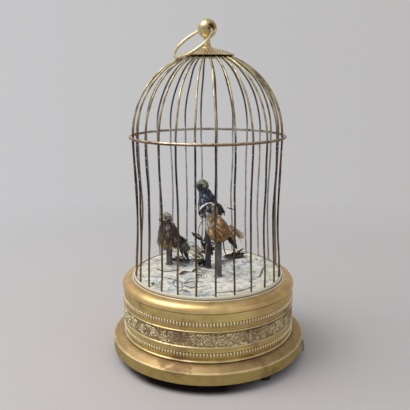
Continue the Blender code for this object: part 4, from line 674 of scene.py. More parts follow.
# Name, light and dark shade, metallic, roughness, scale of the clouds, then bumps and stretch
PLAIN = {
    "steel": ("oiled_steel", (0.50, 0.50, 0.51), (0.24, 0.23, 0.22), 1.0, 0.36, 90.0),
    "foot": ("black_enamel", (0.035, 0.033, 0.032), (0.012, 0.011, 0.011), 0.0, 0.34, 120.0),
    "tube": ("grey_tube_paint", (0.215, 0.225, 0.225), (0.050, 0.054, 0.056), 0.25, 0.50, 260.0, 0.3,
             (1.0, 1.0, 0.35)),
    "dark_tube": ("dark_tube_paint", (0.060, 0.064, 0.070), (0.020, 0.022, 0.025), 0.25, 0.50, 260.0, 0.3,
                  (1.0, 1.0, 0.35)),
    "wood": ("bellows_board_wood", (0.34, 0.20, 0.10), (0.20, 0.11, 0.05), 0.0, 0.55, 60.0, 0.2,
             (0.15, 1.0, 1.0)),
    "leather": ("pale_skin_leather", (0.62, 0.52, 0.38), (0.44, 0.34, 0.22), 0.0, 0.66, 140.0, 0.4),
    "beak": ("black_beak", (0.030, 0.026, 0.024), (0.010, 0.009, 0.009), 0.0, 0.30, 300.0),
    # Near-black finish of the sheet under the crown cap, a painted shade.
    "lining": ("blackened_lining", (0.030, 0.026, 0.020), (0.012, 0.010, 0.008), 0.2, 0.60, 200.0),
    "eye": ("glass_eye", (0.012, 0.010, 0.009), (0.004, 0.004, 0.004), 0.0, 0.12, 90.0, 0.0),
    "solder": ("solder", (0.84, 0.82, 0.74), (0.50, 0.44, 0.32), 0.8, 0.40, 300.0),
}
FINISHES = {}


def make_finishes():
    """Every finish by its name, made once."""
    face, shade, olive, dirt = (tone(n) for n in ("face", "shade", "olive", "dirt"))
    # Pale brass for the edges and raised lines: rubbed wear, and a painted highlight.
    wear_and_highlight = (0.88, 0.76, 0.50)
    rim = PLINTH_RIM_TOP
    # Plinth bands: the rim in the olive sheet colour darkened further as painted shade, a pale line on the
    # rim's top edge as wear and painted highlight, and the top laid darker as painted shade that dims its
    # reflection.
    plinth_bands = ((PLINTH_LOW.z - 0.002, rim - 0.0003, 0.0003, 0.85, tuple(0.72 * c for c in olive)),
                    (rim - 0.0006, rim + 0.0001, 0.0002, 0.60, wear_and_highlight),
                    (rim + 0.0003, PLINTH_HIGH.z + 0.002, 0.0003, 0.92, (0.43, 0.305, 0.150)))
    # The shoulder's lower edge and the drum's foot and frame lines get the same pale wear and painted
    # highlight.
    shoulder_bands = ((SHOULDER_LOW.z - 0.001, SHOULDER_LOW.z + 0.0007, 0.0002, 0.60, wear_and_highlight),)
    drum_bands = ((BAND_LOW.z - 0.001, BAND_LOW.z + 0.0018, 0.0002, 0.60, wear_and_highlight),
                  (*LOW_BEADS, 0.0002, 0.45, dirt),
                  (LOW_LINE + 0.0006, HIGH_LINE - 0.0006, 0.0002, 0.62, dirt),
                  (*HIGH_BEADS, 0.0002, 0.45, dirt),
                  (LOW_LINE - 0.0005, LOW_LINE + 0.0005, 0.0002, 0.65, wear_and_highlight),
                  (HIGH_LINE - 0.0005, HIGH_LINE + 0.0005, 0.0002, 0.65, wear_and_highlight))
    FINISHES.update({
        "plinth": old_brass("plinth_brass", face, shade, 0.42, 0.57, (1.0, 1.0, 2.4), plinth_bands),
        "shoulder": old_brass("shoulder_brass", face, shade, 0.36, 0.41, (1.0, 1.0, 1.6), shoulder_bands,
                              lip=LIP_RADIUS),
        "sheet": old_brass("pressed_sheet_brass", olive, (0.54, 0.38, 0.16), 0.40, 0.36,
                           (1.0, 1.0, 1.5), drum_bands, lace=(LOW_LINE, HIGH_LINE, (0.66, 0.54, 0.33))),
        "relief": old_brass("frieze_brass", (0.76, 0.66, 0.44), (0.56, 0.45, 0.27), 0.44, 0.44),
        "bead": old_brass("bead_brass", (0.91, 0.81, 0.56), (0.80, 0.67, 0.41), 0.34, 0.38, grain=1.6),
        "hoop": hoop_brass(),
        "collar": old_brass("collar_brass", (0.52, 0.38, 0.18), (0.34, 0.22, 0.10), 0.42, 0.38),
        "crown": old_brass("crown_brass", (0.74, 0.63, 0.38), (0.56, 0.44, 0.23), 0.36, 0.36, grain=1.8),
        "movement": old_brass("clockwork_brass", (0.80, 0.62, 0.30), (0.66, 0.48, 0.20), 0.26, 0.28),
        "wire": wire_brass(),
        "ground": ground_paint(),
        "plume": plumage("plumage"),
        "litter": plumage("dry_leaf_and_feather", 0.05),
    })
    for finish, values in PLAIN.items():
        FINISHES[finish] = plain_finish(*values)


# Base

def plinth_profile():
    low = PLINTH_LOW.z
    top = PLINTH_HIGH.z
    inner = PLINTH_RADIUS - SHEET
    foot = BAND_RADIUS + SHEET
    edge = PLINTH_RADIUS - 0.0006
    outer = [(inner, low), (inner + 0.0003, low), (PLINTH_RADIUS - 0.0004, low),
             (PLINTH_RADIUS, low + 0.0005), (PLINTH_RADIUS, low + 0.0030),
             (PLINTH_RADIUS - 0.0001, PLINTH_RIM_TOP - 0.0016), (PLINTH_RADIUS, PLINTH_RIM_TOP - 0.0008)]
    outer += bow(edge - 0.0001, PLINTH_RIM_TOP - 0.0005, 0.0007, 0, 90, 5)
    outer += [(edge - 0.0005, PLINTH_RIM_TOP + 0.00005)]
    for share in shares(10):
        radius = edge - 0.0006 - (edge - 0.0006 - foot) * share
        outer.append((radius, PLINTH_RIM_TOP + (top - PLINTH_RIM_TOP) * sin(pi / 2 * share) ** 0.9))
    return outer + [(foot - 0.0055, top), (foot - 0.0055, top - SHEET), (foot, top - SHEET),
                    (inner - 0.0026, PLINTH_RIM_TOP - 0.0002), (inner, PLINTH_RIM_TOP - SHEET), (inner, low)]


class MakePlinth(bpy.types.Operator):
    """Spun plinth with its vertical rim, and the slot that the stop lever passes through"""
    bl_idname = "bird_cage.plinth"
    bl_label = "Plinth"

    def execute(self, context):
        plinth = turn("plinth_shell", plinth_profile(), sizes().steps, 30.0)
        pivot = Vector(JOINTS["stop_lever_turn"]["pos_m"])
        half = 0.0025
        swing = (PLINTH_RADIUS - pivot.length) * sin(radians(LEVER_SWING))
        slot = fresh("slot", bpy.ops.mesh.primitive_cube_add, size=1.0)
        slot.scale = (0.012, 2 * half + swing + 0.0006, 0.0020)
        azimuth = atan2(pivot.y, pivot.x)
        side = Vector((-sin(azimuth), cos(azimuth), 0.0)) * (swing / 2 + 0.0002)
        slot.location = Vector((cos(azimuth), sin(azimuth), 0.0)) * PLINTH_RADIUS + side
        slot.location.z = pivot.z
        slot.rotation_euler.z = azimuth
        cut(plinth, slot)
        seat(plinth, "polished_brass", "plinth", "plinth")
        return {"FINISHED"}


def band_profile():
    """Drum sheet with its two beaded ridges and the two lines that frame the frieze."""
    inner = BAND_RADIUS - SHEET
    bead = BAND_RADIUS + 0.00035
    neck = BAND_RADIUS - 0.75 * SHEET
    top = BAND_LOW.z + BAND_HEIGHT
    low_beads, high_beads = (
        [(BAND_RADIUS, low - 0.0006), (bead, low), (bead - 0.0002, low + 0.0004),
         (bead - 0.0002, high - 0.0004), (bead, high), (BAND_RADIUS, high + 0.0006)]
        for low, high in (LOW_BEADS, HIGH_BEADS))
    low_line = bow(BAND_RADIUS, LOW_LINE, 0.0009, -90, 60, 6, 0.75)
    high_line = bow(BAND_RADIUS, HIGH_LINE, 0.0009, -60, 90, 6, 0.75)
    panel = [(PANEL_RADIUS - 0.0004, low_line[-1][1] + 0.0005),
             (PANEL_RADIUS - 0.0004, high_line[0][1] - 0.0005)]
    foot = bow(BAND_RADIUS, BAND_LOW.z + 0.0008, 0.0011, -80, 90, 6, 0.75)
    collar = [(BAND_RADIUS, top - 0.0004), (BAND_RADIUS - 0.0003, top), (neck, top),
              (neck, BAND_HIGH.z), (inner, BAND_HIGH.z), (inner, BAND_LOW.z)]
    return ([(inner, BAND_LOW.z), (BAND_RADIUS, BAND_LOW.z)] + foot + low_beads + low_line + panel
            + high_line + high_beads + collar)


class MakeDrum(bpy.types.Operator):
    """Pressed brass drum band with ridges and frame lines"""
    bl_idname = "bird_cage.drum"
    bl_label = "Drum band"

    def execute(self, context):
        drum = turn("drum_sheet", band_profile(), sizes().steps, 50.0)
        seat(drum, "olive_brass", "sheet", "drum_band")
        return {"FINISHED"}


class MakeBeading(bpy.types.Operator):
    """Two rows of upright beads round the drum"""
    bl_idname = "bird_cage.beading"
    bl_label = "Beading"

    def execute(self, context):
        size = sizes()
        for name, middle in (("lower_beading", band_height(0.160)), ("upper_beading", band_height(0.795))):
            bead = sphere(name, 8, 6)
            open_edit(bead)
            bpy.ops.transform.resize(value=(size.bead_width, 0.0018, size.bead_height))
            bpy.ops.transform.translate(value=(0, -BAND_RADIUS - 0.0001, middle))
            close_edit()
            for vert in bead.data.vertices:
                reach = abs(vert.co.z - middle) / (size.bead_height / 2)
                if 0.2 < reach < 0.95:
                    vert.co.x *= 1.0 + 0.35 * reach
                    vert.co.y = -BAND_RADIUS + (vert.co.y + BAND_RADIUS) * (1.0 + 0.3 * reach)
            ring_of(bead, size.bead_count)
            bpy.ops.object.shade_smooth()
            seat(bead, "polished_brass", "bead")
        return {"FINISHED"}


def leaf_template(name, bulge):
    """Pointed leaf in the XZ plane, its root at the origin, one long, raised along its vein."""
    item = fresh(name, bpy.ops.mesh.primitive_grid_add, x_subdivisions=4, y_subdivisions=5, size=1.0)
    for vert in item.data.vertices:
        across, along = vert.co.x, vert.co.y + 0.5
        width = 0.5 * sin(pi * min(max(along, 0.0), 1.0) ** 0.7) ** 0.8 + 0.02
        side = across * 2.0
        rise = bulge * (1.0 - abs(side) ** 1.5) * sin(pi * along) ** 0.5
        vert.co = (side * width, -rise, along)
    return item


def scroll_points(centre_u, up, turns=1.55, start=0.0040, end=0.0010, count=34):
    """A spiral tendril in the panel, wound inwards."""
    points = []
    for share in shares(count):
        angle = pi * (0.5 + 2.0 * turns * share)
        radius = start + (end - start) * share ** 0.9
        points.append(Vector((centre_u + radius * cos(angle), 0.0, -up * radius * sin(angle))))
    return points


def wrap_round(item, radius, height):
    """Bends a flat panel in the XZ plane round the Z axis."""
    for vert in item.data.vertices:
        angle = vert.co.x / radius
        distance = radius - vert.co.y
        vert.co = (distance * sin(angle), -distance * cos(angle), height + vert.co.z)


class MakeFrieze(bpy.types.Operator):
    """Foliage frieze: a waving stem, tendrils, leaves and rosettes, and the strip over the band's joint"""
    bl_idname = "bird_cage.frieze"
    bl_label = "Foliage frieze"

    def execute(self, context):
        count = sizes().scroll_count
        length = 2 * pi * PANEL_RADIUS / count
        middle_height = (band_height(0.325) + band_height(0.641)) / 2
        thick = 0.00045
        wave = 0.0040
        steps = 24
        stem = [Vector((length * (i / steps - 0.5), 0.0, wave * sin(2 * pi * i / steps)))
                for i in range(steps + 1)]
        pieces = [wire("stem", stem, thick, 1)]
        leaf = leaf_template("leaf", 0.34)
        placements = []
        for hand in (-1, 1):
            middle = hand * length / 4
            points = scroll_points(middle, hand)
            widths = [1.2 - 0.5 * i / len(points) for i in range(len(points))]
            pieces.append(wire("tendril", points, thick, 1, widths))
            centre = Vector((middle, 0.0, 0.0))
            for petal in range(6):
                placements.append((centre, 60.0 * petal + 15.0, 0.0017, 0.0013))
            for index in range(1, 30, 2):
                ahead = points[index + 1] - points[index]
                slope = degrees(atan2(ahead.x, ahead.z))
                side = 1 if index % 4 == 1 else -1
                placements.append((points[index], slope + side * 58.0, 0.0022 - 0.00003 * index, 0.0012))
            for level in (-1, 1):
                for spread in (-66.0, -33.0, 0.0, 33.0, 66.0):
                    corner = Vector((middle + hand * length / 4, 0.0, level * 0.0044))
                    placements.append((corner, (180.0 if level > 0 else 0.0) + spread, 0.0031, 0.0015))
            for index in (3, 7, 11, 15, 19):
                placements.append((stem[index], 90.0 + hand * 58.0, 0.0024, 0.0013))
        copies = []
        for place, lean, long, wide in placements:
            matrix = (Matrix.Translation(place) @ Matrix.Rotation(radians(lean), 4, "Y")
                      @ Matrix.Diagonal((wide, 0.0020, long, 1.0)))
            copies.append((matrix, (1.0, 1.0, 1.0)))
        pieces.append(scatter("leaves", leaf, copies))
        bpy.data.objects.remove(leaf)
        frieze = join("foliage_frieze", pieces)
        for vert in frieze.data.vertices:
            vert.co.y *= 1.0 if vert.co.y < 0 else 0.3
            vert.co.z = max(min(vert.co.z, 0.0051), -0.0051)
        wrap_round(frieze, PANEL_RADIUS - 0.0003, middle_height)
        ring_of(frieze, count)
        bpy.ops.object.shade_smooth_by_angle(angle=radians(60.0))
        seat(frieze, "olive_brass", "relief")
        strip = fresh("frieze_joint_strip", bpy.ops.mesh.primitive_cube_add, size=1.0)
        strip.scale = (0.0030, 0.0010, 0.0104)
        strip.location = polar(PANEL_RADIUS, SEAM_AZIMUTH, middle_height)
        strip.rotation_euler.z = radians(SEAM_AZIMUTH)
        settle()
        bevel = strip.modifiers.new("rounded", "BEVEL")
        bevel.width = 0.0003
        bevel.segments = 2
        apply_modifiers(strip)
        seat(strip, "olive_brass", "relief")
        return {"FINISHED"}


class MakeShoulder(bpy.types.Operator):
    """Convex shoulder moulding with its rolled foot and bright lip"""
    bl_idname = "bird_cage.shoulder"
    bl_label = "Shoulder moulding"

    def execute(self, context):
        low = SHOULDER_LOW.z
        top = SHOULDER_HIGH.z
        height = top - low
        width = SHOULDER_RADIUS - LIP_RADIUS
        outer = bow(SHOULDER_RADIUS - 0.0004, low + 0.0004, 0.0004, -90, 0, 4)
        count = 14
        for index in range(1, count + 1):
            angle = radians(90.0 * index / count)
            outer.append((LIP_RADIUS + width * cos(angle) ** 0.9, low + height * sin(angle) ** 0.9))
        flange = top - 0.0027
        rows = outer + [(LIP_RADIUS - 0.0002, top + 0.0001)]
        rows += bow(LIP_RADIUS - 0.00045, top - 0.0002, 0.00045, 90, 180, 5)
        rows += [(LIP_INNER, flange), (LIP_INNER - 0.0056, flange), (LIP_INNER - 0.0056, flange - 0.0010),
                 (LIP_RADIUS, flange - 0.0010)]
        inner_width = width - 0.0010
        inner_height = height - 0.0012
        for angle in (68.0, 38.0, 15.0, 0.0):
            rows.append((LIP_RADIUS + inner_width * cos(radians(angle)),
                         low + inner_height * sin(radians(angle))))
        rows.append(rows[0])
        shoulder = turn("shoulder_shell", rows, sizes().steps, 40.0)
        seat(shoulder, "polished_brass", "shoulder", "shoulder_moulding")
        return {"FINISHED"}


class MakeFeet(bpy.types.Operator):
    """Three turned feet with a rounded sole"""
    bl_idname = "bird_cage.feet"
    bl_label = "Feet"

    def execute(self, context):
        for name in ("foot_1", "foot_2", "foot_3"):
            low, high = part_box(name)
            centre = (low + high) / 2
            radius = (high.x - low.x) / 2
            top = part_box("bottom_plate")[0].z - SEAT_GAP
            profile = [(0.0, 0.0), (0.62 * radius, 0.0)]
            profile += bow(0.72 * radius, 0.28 * radius, 0.28 * radius, -70, 0, 6)
            profile += [(radius, 0.5 * top), (0.94 * radius, 0.62 * top), (0.80 * radius, 0.68 * top),
                        (0.80 * radius, top), (0.0015, top), (0.0015, high.z), (0.0, high.z)]
            foot = turn(name + "_turned", profile, 48, 30.0)
            foot.location = (centre.x, centre.y, 0.0)
            seat(foot, "blackened_foot", "foot", name)
        return {"FINISHED"}


# Ground

def post_spots():
    return [footprint(bird + "_post") for bird in BIRD_NAMES]


def ridge(distance, circle, width):
    return exp(-((distance - circle) / width) ** 2)


# Embossed leaves, each its middle and the way it lies in degrees, and lines of cracks
LEAF_MARKS = ((-0.028, -0.030, 35.0), (-0.020, -0.036, -20.0), (-0.034, -0.021, 80.0),
              (0.030, -0.012, 120.0), (0.022, 0.034, 200.0), (-0.010, 0.046, 300.0),
              (0.044, 0.010, 10.0), (-0.046, -0.008, 60.0))
CRACKS = (((-0.048, 0.004), (-0.036, -0.006), (-0.030, -0.018)),
          ((0.020, -0.038), (0.034, -0.030), (0.046, -0.012)),
          ((-0.012, -0.050), (0.006, -0.053), (0.020, -0.048)))


def ground_height(x, y, spots):
    """Height of the embossed, hand-painted ground over the tray's flat top, never above it."""
    relief = sizes().relief
    radius = hypot(x, y)
    height = 0.55 * relief * noise.noise(Vector((x, y, 0.0)) * 70.0)
    height += 0.45 * relief * noise.noise(Vector((x, y, 3.0)) * 230.0)
    for px, py in spots:
        reach = hypot(x - px, y - py)
        height += 0.6 * relief * (ridge(reach, 0.0130, 0.0007) + 0.8 * ridge(reach, 0.0111, 0.0006))
        height += 0.7 * relief * (1.0 - smooth(0.0040, 0.0062, reach))
        height -= 0.3 * relief * ridge(reach, 0.0145, 0.0009)
    for lx, ly, turned in LEAF_MARKS:
        angle = radians(turned)
        u = (x - lx) * cos(angle) + (y - ly) * sin(angle)
        v = -(x - lx) * sin(angle) + (y - ly) * cos(angle)
        oval = hypot(u / 0.0075, v / 0.0032)
        if oval < 1.5:
            inside = 1.0 - smooth(0.75, 1.0, oval)
            height += 0.8 * relief * inside - 1.3 * relief * inside * exp(-(v / 0.0005) ** 2)
            height -= 0.8 * relief * ridge(oval, 1.06, 0.12)
    for line in CRACKS:
        for a, b in zip(line, line[1:]):
            run = Vector((b[0] - a[0], b[1] - a[1]))
            share = min(max(Vector((x - a[0], y - a[1])).dot(run) / run.length_squared, 0.0), 1.0)
            gap = hypot(x - a[0] - run.x * share, y - a[1] - run.y * share)
            height -= 1.2 * relief * exp(-(gap / 0.0007) ** 2)
    rim = smooth(TRAY_RADIUS - 0.0042, TRAY_RADIUS - 0.0030, radius)
    return height * (1.0 - rim) - 0.9 * relief


class MakeGround(bpy.types.Operator):
    """Embossed, painted ground tray: rings round the posts, leaves, cracks, a groove and a rolled edge"""
    bl_idname = "bird_cage.ground"
    bl_label = "Ground tray"

    def execute(self, context):
        flat = TRAY_RADIUS - 0.0012
        rings = 106
        spokes = 440
        under = TRAY_TOP - 0.0020
        profile = [(flat * index / rings, TRAY_TOP) for index in range(rings + 1)]
        profile += bow(TRAY_RADIUS - 0.0005, TRAY_TOP - 0.0005, 0.0005, 180, 0, 9)
        profile += [(TRAY_RADIUS, TRAY_LOW.z), (TRAY_RADIUS - 0.0008, TRAY_LOW.z),
                    (TRAY_RADIUS - 0.0008, under), (0.0, under)]
        tray = turn("painted_ground", profile, spokes, 60.0)
        spots = post_spots()
        for vert in tray.data.vertices:
            radius = hypot(vert.co.x, vert.co.y)
            if abs(vert.co.z - TRAY_TOP) < MERGE and radius < flat + MERGE:
                vert.co.z += ground_height(vert.co.x, vert.co.y, spots)
                vert.co.z -= 0.0007 * smooth(flat - 0.0009, flat - 0.0002, radius)
        seat(tray, "painted_tray", "ground", "ground_tray")
        return {"FINISHED"}


# Cage

def bar_circle(height):
    """Radius of the bars under the hoop, drawn in at the waist."""
    if height > WAIST_HEIGHT:
        share = (height - WAIST_HEIGHT) / (HOOP_HEIGHT - WAIST_HEIGHT)
        end = HOOP_CIRCLE
    else:
        share = (WAIST_HEIGHT - height) / (WAIST_HEIGHT - BAR_FOOT)
        end = BAR_FOOT_CIRCLE
    return WAIST_CIRCLE + (end - WAIST_CIRCLE) * (1.0 - cos(pi * min(share, 1.0))) / 2


def dome_height(radius):
    return HOOP_HEIGHT + DOME_RISE * sqrt(1.0 - (radius / HOOP_CIRCLE) ** 2)


def bar_line(azimuth, seed):
    """Centre line of one bar with the small strays of hand bending, none at foot, hoop and crown."""
    wander = sizes().wire_wander
    points = []
    for share in shares(23)[:-1]:
        height = BAR_FOOT + (HOOP_HEIGHT - BAR_FOOT) * share
        free = smooth(0.03, 0.14, share) * (1.0 - smooth(0.88, 1.0, share))
        sway = noise.noise(Vector((seed * 3.7, share * 3.0, 0.0))) * 2.2 * wander * free
        push = noise.noise(Vector((seed * 3.7, share * 3.5, 9.0))) * 1.5 * wander * free
        radius = bar_circle(height) + min(push, 0.0002)
        points.append(polar(radius, azimuth + degrees(sway / radius), height))
    last = pi / 2 - HAIRPIN_CIRCLE / HOOP_CIRCLE
    for share in shares(25):
        radius = HOOP_CIRCLE * cos(last * share) if share < 1.0 else HAIRPIN_CIRCLE
        free = smooth(0.0, 0.12, share) * (1.0 - smooth(0.62, 0.84, share))
        sway = noise.noise(Vector((seed * 3.7, 20.0 + share * 3.0, 0.0))) * 1.8 * wander * free
        points.append(polar(radius, azimuth + degrees(sway / radius), dome_height(radius)))
    return points


class MakeWires(bpy.types.Operator):
    """Thirteen hairpin wires, each two neighbouring bars of the cage"""
    bl_idname = "bird_cage.wires"
    bl_label = "Cage wires"

    def execute(self, context):
        for index in range(BAR_COUNT // 2):
            first = BAR_PHASE + 2 * index * BAR_PITCH
            bend = []
            for share in shares(9)[1:-1]:
                radius = HAIRPIN_CIRCLE - HAIRPIN_BEND * sin(pi * share)
                bend.append(polar(radius, first + share * BAR_PITCH, dome_height(radius)))
            path = bar_line(first, 2 * index) + bend + bar_line(first + BAR_PITCH, 2 * index + 1)[::-1]
            name = "cage_wire_%02d" % (index + 1)
            piece = wire(name + "_drawn", path, BAR_RADIUS, 4)
            seat(piece, "dark_brass", "wire", name)
        return {"FINISHED"}


class MakeHoop(bpy.types.Operator):
    """Half-round hoop outside the bars, soldered to each of them"""
    bl_idname = "bird_cage.hoop"
    bl_label = "Hoop and solder"

    def execute(self, context):
        inner = HOOP_HIGH.x - 0.0018
        half = (HOOP_HIGH.z - HOOP_LOW.z) / 2
        round_side = bow(inner + 0.0007, HOOP_HEIGHT, 1.0, -90, 90, 9)
        profile = [(inner + 0.0006 + (r - inner - 0.0007) * (HOOP_HIGH.x - inner - 0.0006),
                    HOOP_HEIGHT + (z - HOOP_HEIGHT) * half) for r, z in round_side]
        profile += [(inner, HOOP_HEIGHT + 0.7 * half), (inner, HOOP_HEIGHT - 0.7 * half), profile[0]]
        hoop = turn("hoop_band", profile, sizes().steps, 50.0)
        seat(hoop, "olive_brass", "hoop", "cage_hoop")
        random.seed(7)
        blobs = []
        for index in range(BAR_COUNT):
            blob = sphere("blob", 10, 6)
            tall = 0.0016 + 0.0010 * random.random()
            blob.scale = (0.0017 + 0.0008 * random.random(), 0.0013, tall)
            azimuth = BAR_PHASE + index * BAR_PITCH
            blob.location = polar(HOOP_CIRCLE + 0.0007, azimuth, HOOP_HEIGHT + 0.0006 * stray(1))
            blob.rotation_euler.z = radians(azimuth)
            settle()
            bpy.ops.object.shade_smooth()
            blobs.append(blob)
        solder = join("hoop_solder", blobs)
        seat(solder, "olive_brass", "solder")
        return {"FINISHED"}


class MakeCrown(bpy.types.Operator):
    """Petalled crown cap with its notched edge, a near-black sheet under its edge that stands as painted
    shade, and the clamp collar under it
    """
    bl_idname = "bird_cage.crown"
    bl_label = "Crown cap"

    def execute(self, context):
        radius = CAP_HIGH.x
        edge = CAP_LOW.z
        rise = CAP_HIGH.z - edge
        sheet = 0.0006
        steps = BAR_COUNT * 12
        foot = 0.0056
        rings = 26
        cap = fresh("crown_petals", bpy.ops.mesh.primitive_circle_add, vertices=steps, radius=foot * 0.35,
                    location=(0, 0, CAP_HIGH.z))
        bpy.ops.object.transform_apply(location=True, rotation=False, scale=False)
        open_edit(cap)
        here = foot * 0.35
        for index in range(rings + 1):
            target = foot + (radius - foot) * index / rings
            bpy.ops.mesh.extrude_edges_move()
            share = target / here
            bpy.ops.transform.resize(value=(share, share, 1.0), center_override=(0, 0, CAP_HIGH.z))
            here = target
        close_edit()
        for vert in cap.data.vertices:
            distance = hypot(vert.co.x, vert.co.y)
            azimuth = atan2(vert.co.x, -vert.co.y)
            share = max((distance - foot) / (radius - foot), 0.0)
            petal = abs(cos(BAR_COUNT / 2 * (azimuth - radians(BAR_PHASE))))
            fine = abs(cos(BAR_COUNT * (azimuth - radians(BAR_PHASE))))
            fall = (rise - sheet) * (distance / radius) ** 2.2
            swell = 0.00050 * sin(pi * min(share * 1.15, 1.0)) * (petal ** 0.6 - 0.55)
            swell += 0.00030 * smooth(0.55, 0.95, share) * (fine - 0.5)
            vert.co.z = CAP_HIGH.z - fall * smooth(-0.05, 0.25, share) + (swell if share > 0 else 0.0)
            notch = 0.0011 * smooth(0.86, 1.0, share) * (1.0 - fine) ** 2
            if distance > 0:
                vert.co.x *= (distance - notch) / distance
                vert.co.y *= (distance - notch) / distance
        solid = cap.modifiers.new("sheet", "SOLIDIFY")
        solid.thickness = sheet
        solid.offset = -1.0
        apply_modifiers(cap)
        clean(cap, 60.0)
        seat(cap, "polished_brass", "crown", "crown_cap")

        # A near-black sheet under the cap's edge, between the bars, put there as painted shade.
        inner = COLLAR_HIGH.x + 0.0004
        outer = radius - 0.0009
        lip = edge - 0.0002
        profile = [(inner, lip + 0.0016), (outer - 0.0006, lip), (outer, lip - 0.0004),
                   (outer - 0.0003, lip - 0.0009), (outer - 0.0012, lip - 0.0008), (inner, lip + 0.0008),
                   (inner, lip + 0.0016)]
        lining = turn("crown_lining", profile, 96, 30.0)
        seat(lining, "dark_brass", "lining")

        reach = COLLAR_HIGH.x
        low = COLLAR_LOW.z
        high = COLLAR_HIGH.z
        profile = [(0.0019, high), (0.6 * reach, high), (0.85 * reach, high - 0.0006),
                   (reach - 0.0003, low + 0.0013), (reach, low + 0.0009), (reach, low + 0.0003),
                   (reach - 0.0003, low), (0.0019, low), (0.0019, high)]
        collar = turn("clamp_collar", profile, 96, 30.0)
        seat(collar, "dark_brass", "collar", "crown_collar")
        return {"FINISHED"}


# The carrying ring turns in a bore that looks a little to one side of the front
RING_AXIS = Vector(JOINTS["carrying_ring_swing"]["axis"])
RING_TURN = atan2(-RING_AXIS.x, RING_AXIS.y) + radians(5.0)
RING_CIRCLE = 0.0170
RING_WIRE = 0.00115
BORE_ROOM = 0.0011


class MakeFinial(bpy.types.Operator):
    """Finial: flat stepped foot, beaded stem and the cross-drilled ball"""
    bl_idname = "bird_cage.finial"
    bl_label = "Finial"

    def execute(self, context):
        base = FINIAL_SEAT
        foot = 0.0050
        stem = 0.0023
        neck = sqrt(BALL_RADIUS ** 2 - stem ** 2)
        profile = [(0.0, FINIAL_LOW.z), (0.0013, FINIAL_LOW.z), (0.0016, FINIAL_LOW.z + 0.0004),
                   (0.0016, base), (0.9 * foot, base)]
        profile += bow(foot - 0.0005, base + 0.0005, 0.0005, -80, 80, 6)
        profile += [(0.80 * foot, base + 0.0011), (0.72 * foot, base + 0.0012), (0.70 * foot, base + 0.0017),
                    (0.62 * foot, base + 0.0020), (1.08 * stem, base + 0.0021)]
        profile += bow(1.02 * stem, base + 0.0032, 0.00065, -70, 70, 6)
        profile += [(stem, base + 0.0040), (stem, BALL_HEIGHT - neck - 0.0010),
                    (1.10 * stem, BALL_HEIGHT - neck - 0.0005), (1.04 * stem, BALL_HEIGHT - neck - 0.00005)]
        start = degrees(atan2(-neck, stem))
        profile += bow(0.0, BALL_HEIGHT, BALL_RADIUS, start, 90.0, 24)[:-1]
        profile.append((0.0, BALL_HEIGHT + BALL_RADIUS))
        finial = turn("turned_finial", profile, 72, 40.0)
        bore = [(0.0, -1.2 * BALL_RADIUS)]
        for share in shares(13):
            along = (share * 2.4 - 1.2) * BALL_RADIUS
            flare = 0.0012 * smooth(0.65, 1.05, abs(along) / BALL_RADIUS)
            sag = RING_CIRCLE - sqrt(RING_CIRCLE ** 2 - along ** 2)
            bore.append((RING_WIRE + BORE_ROOM + sag + flare, along))
        bore.append((0.0, 1.2 * BALL_RADIUS))
        drill = turn("drill", bore, 40)
        drill.rotation_euler = (pi / 2, 0, RING_TURN)
        drill.location = (0, 0, BALL_HEIGHT)
        cut(finial, drill)
        clean(finial, 40.0)
        seat(finial, "polished_brass", "crown", "finial")
        return {"FINISHED"}


class MakeRing(bpy.types.Operator):
    """Carrying ring of round wire with its butt joint, hanging in the ball"""
    bl_idname = "bird_cage.ring"
    bl_label = "Carrying ring"

    def execute(self, context):
        low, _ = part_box("carrying_ring")
        rest = asin((BALL_HEIGHT - low.z - RING_WIRE) / (2 * RING_CIRCLE))
        ring = fresh("ring_of_wire", bpy.ops.mesh.primitive_torus_add, major_segments=112, minor_segments=16,
                     major_radius=RING_CIRCLE, minor_radius=RING_WIRE, location=(-RING_CIRCLE, 0, 0))
        settle()
        for vert in ring.data.vertices:
            angle = atan2(vert.co.y, -(vert.co.x + RING_CIRCLE))
            seam = exp(-((degrees(angle) - 28.0) / 2.2) ** 2)
            centre = Vector((-RING_CIRCLE - RING_CIRCLE * cos(angle), RING_CIRCLE * sin(angle), 0.0))
            vert.co = centre + (vert.co - centre) * (1.0 - 0.16 * seam)
        ring.rotation_euler = (0, -rest, RING_TURN)
        ring.location = (0, 0, BALL_HEIGHT)
        bpy.ops.object.shade_smooth()
        seat(ring, "polished_brass", "crown", "carrying_ring", body="carrying_ring")
        return {"FINISHED"}


# Birds

def bird_perch(bird):
    """The bird's own frame: on the end of its post, forward along X, left along Y."""
    spot = Vector((*footprint(bird + "_post"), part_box(bird + "_post")[1].z))
    left = Vector(JOINTS[bird + "_beak_open"]["axis"]).normalized()
    forward = Vector((left.y, -left.x, 0.0))
    return Matrix.Translation(spot) @ turned_onto(forward, left, UP)


def per_bird(*values):
    return dict(zip(BIRD_NAMES, values))


# Plumage starts this far above the end of the post
POST_ROOM = 0.0004
BODY_LENGTH = 0.0265
BODY_RISE = 0.0125
HEAD_RADIUS = 0.0049
HEAD_RISE = 0.0262
HEAD_FORWARD = per_bird(0.0024, 0.0062, 0.0048)
BODY_FORWARD = per_bird(0.0010, 0.0022, 0.0012)
LEAN = per_bird(12.0, 34.0, 16.0)
TAIL_SLOPE = per_bird(36.0, 30.0, 48.0)
BODY_RADIUS = per_bird(0.0086, 0.0080, 0.0078)
# A lower number moves the widest part of the egg towards the rump
BODY_TAPER = per_bird(0.56, 0.74, 0.52)
FEATHER_LENGTH = per_bird(0.0084, 0.0068, 0.0054)
FEATHER_WIDTH = per_bird(0.0016, 0.0024, 0.0023)

# In a bird's own frame, X runs forward and Y to the left
LEFT = Vector((0.0, 1.0, 0.0))
UP = Vector((0.0, 0.0, 1.0))


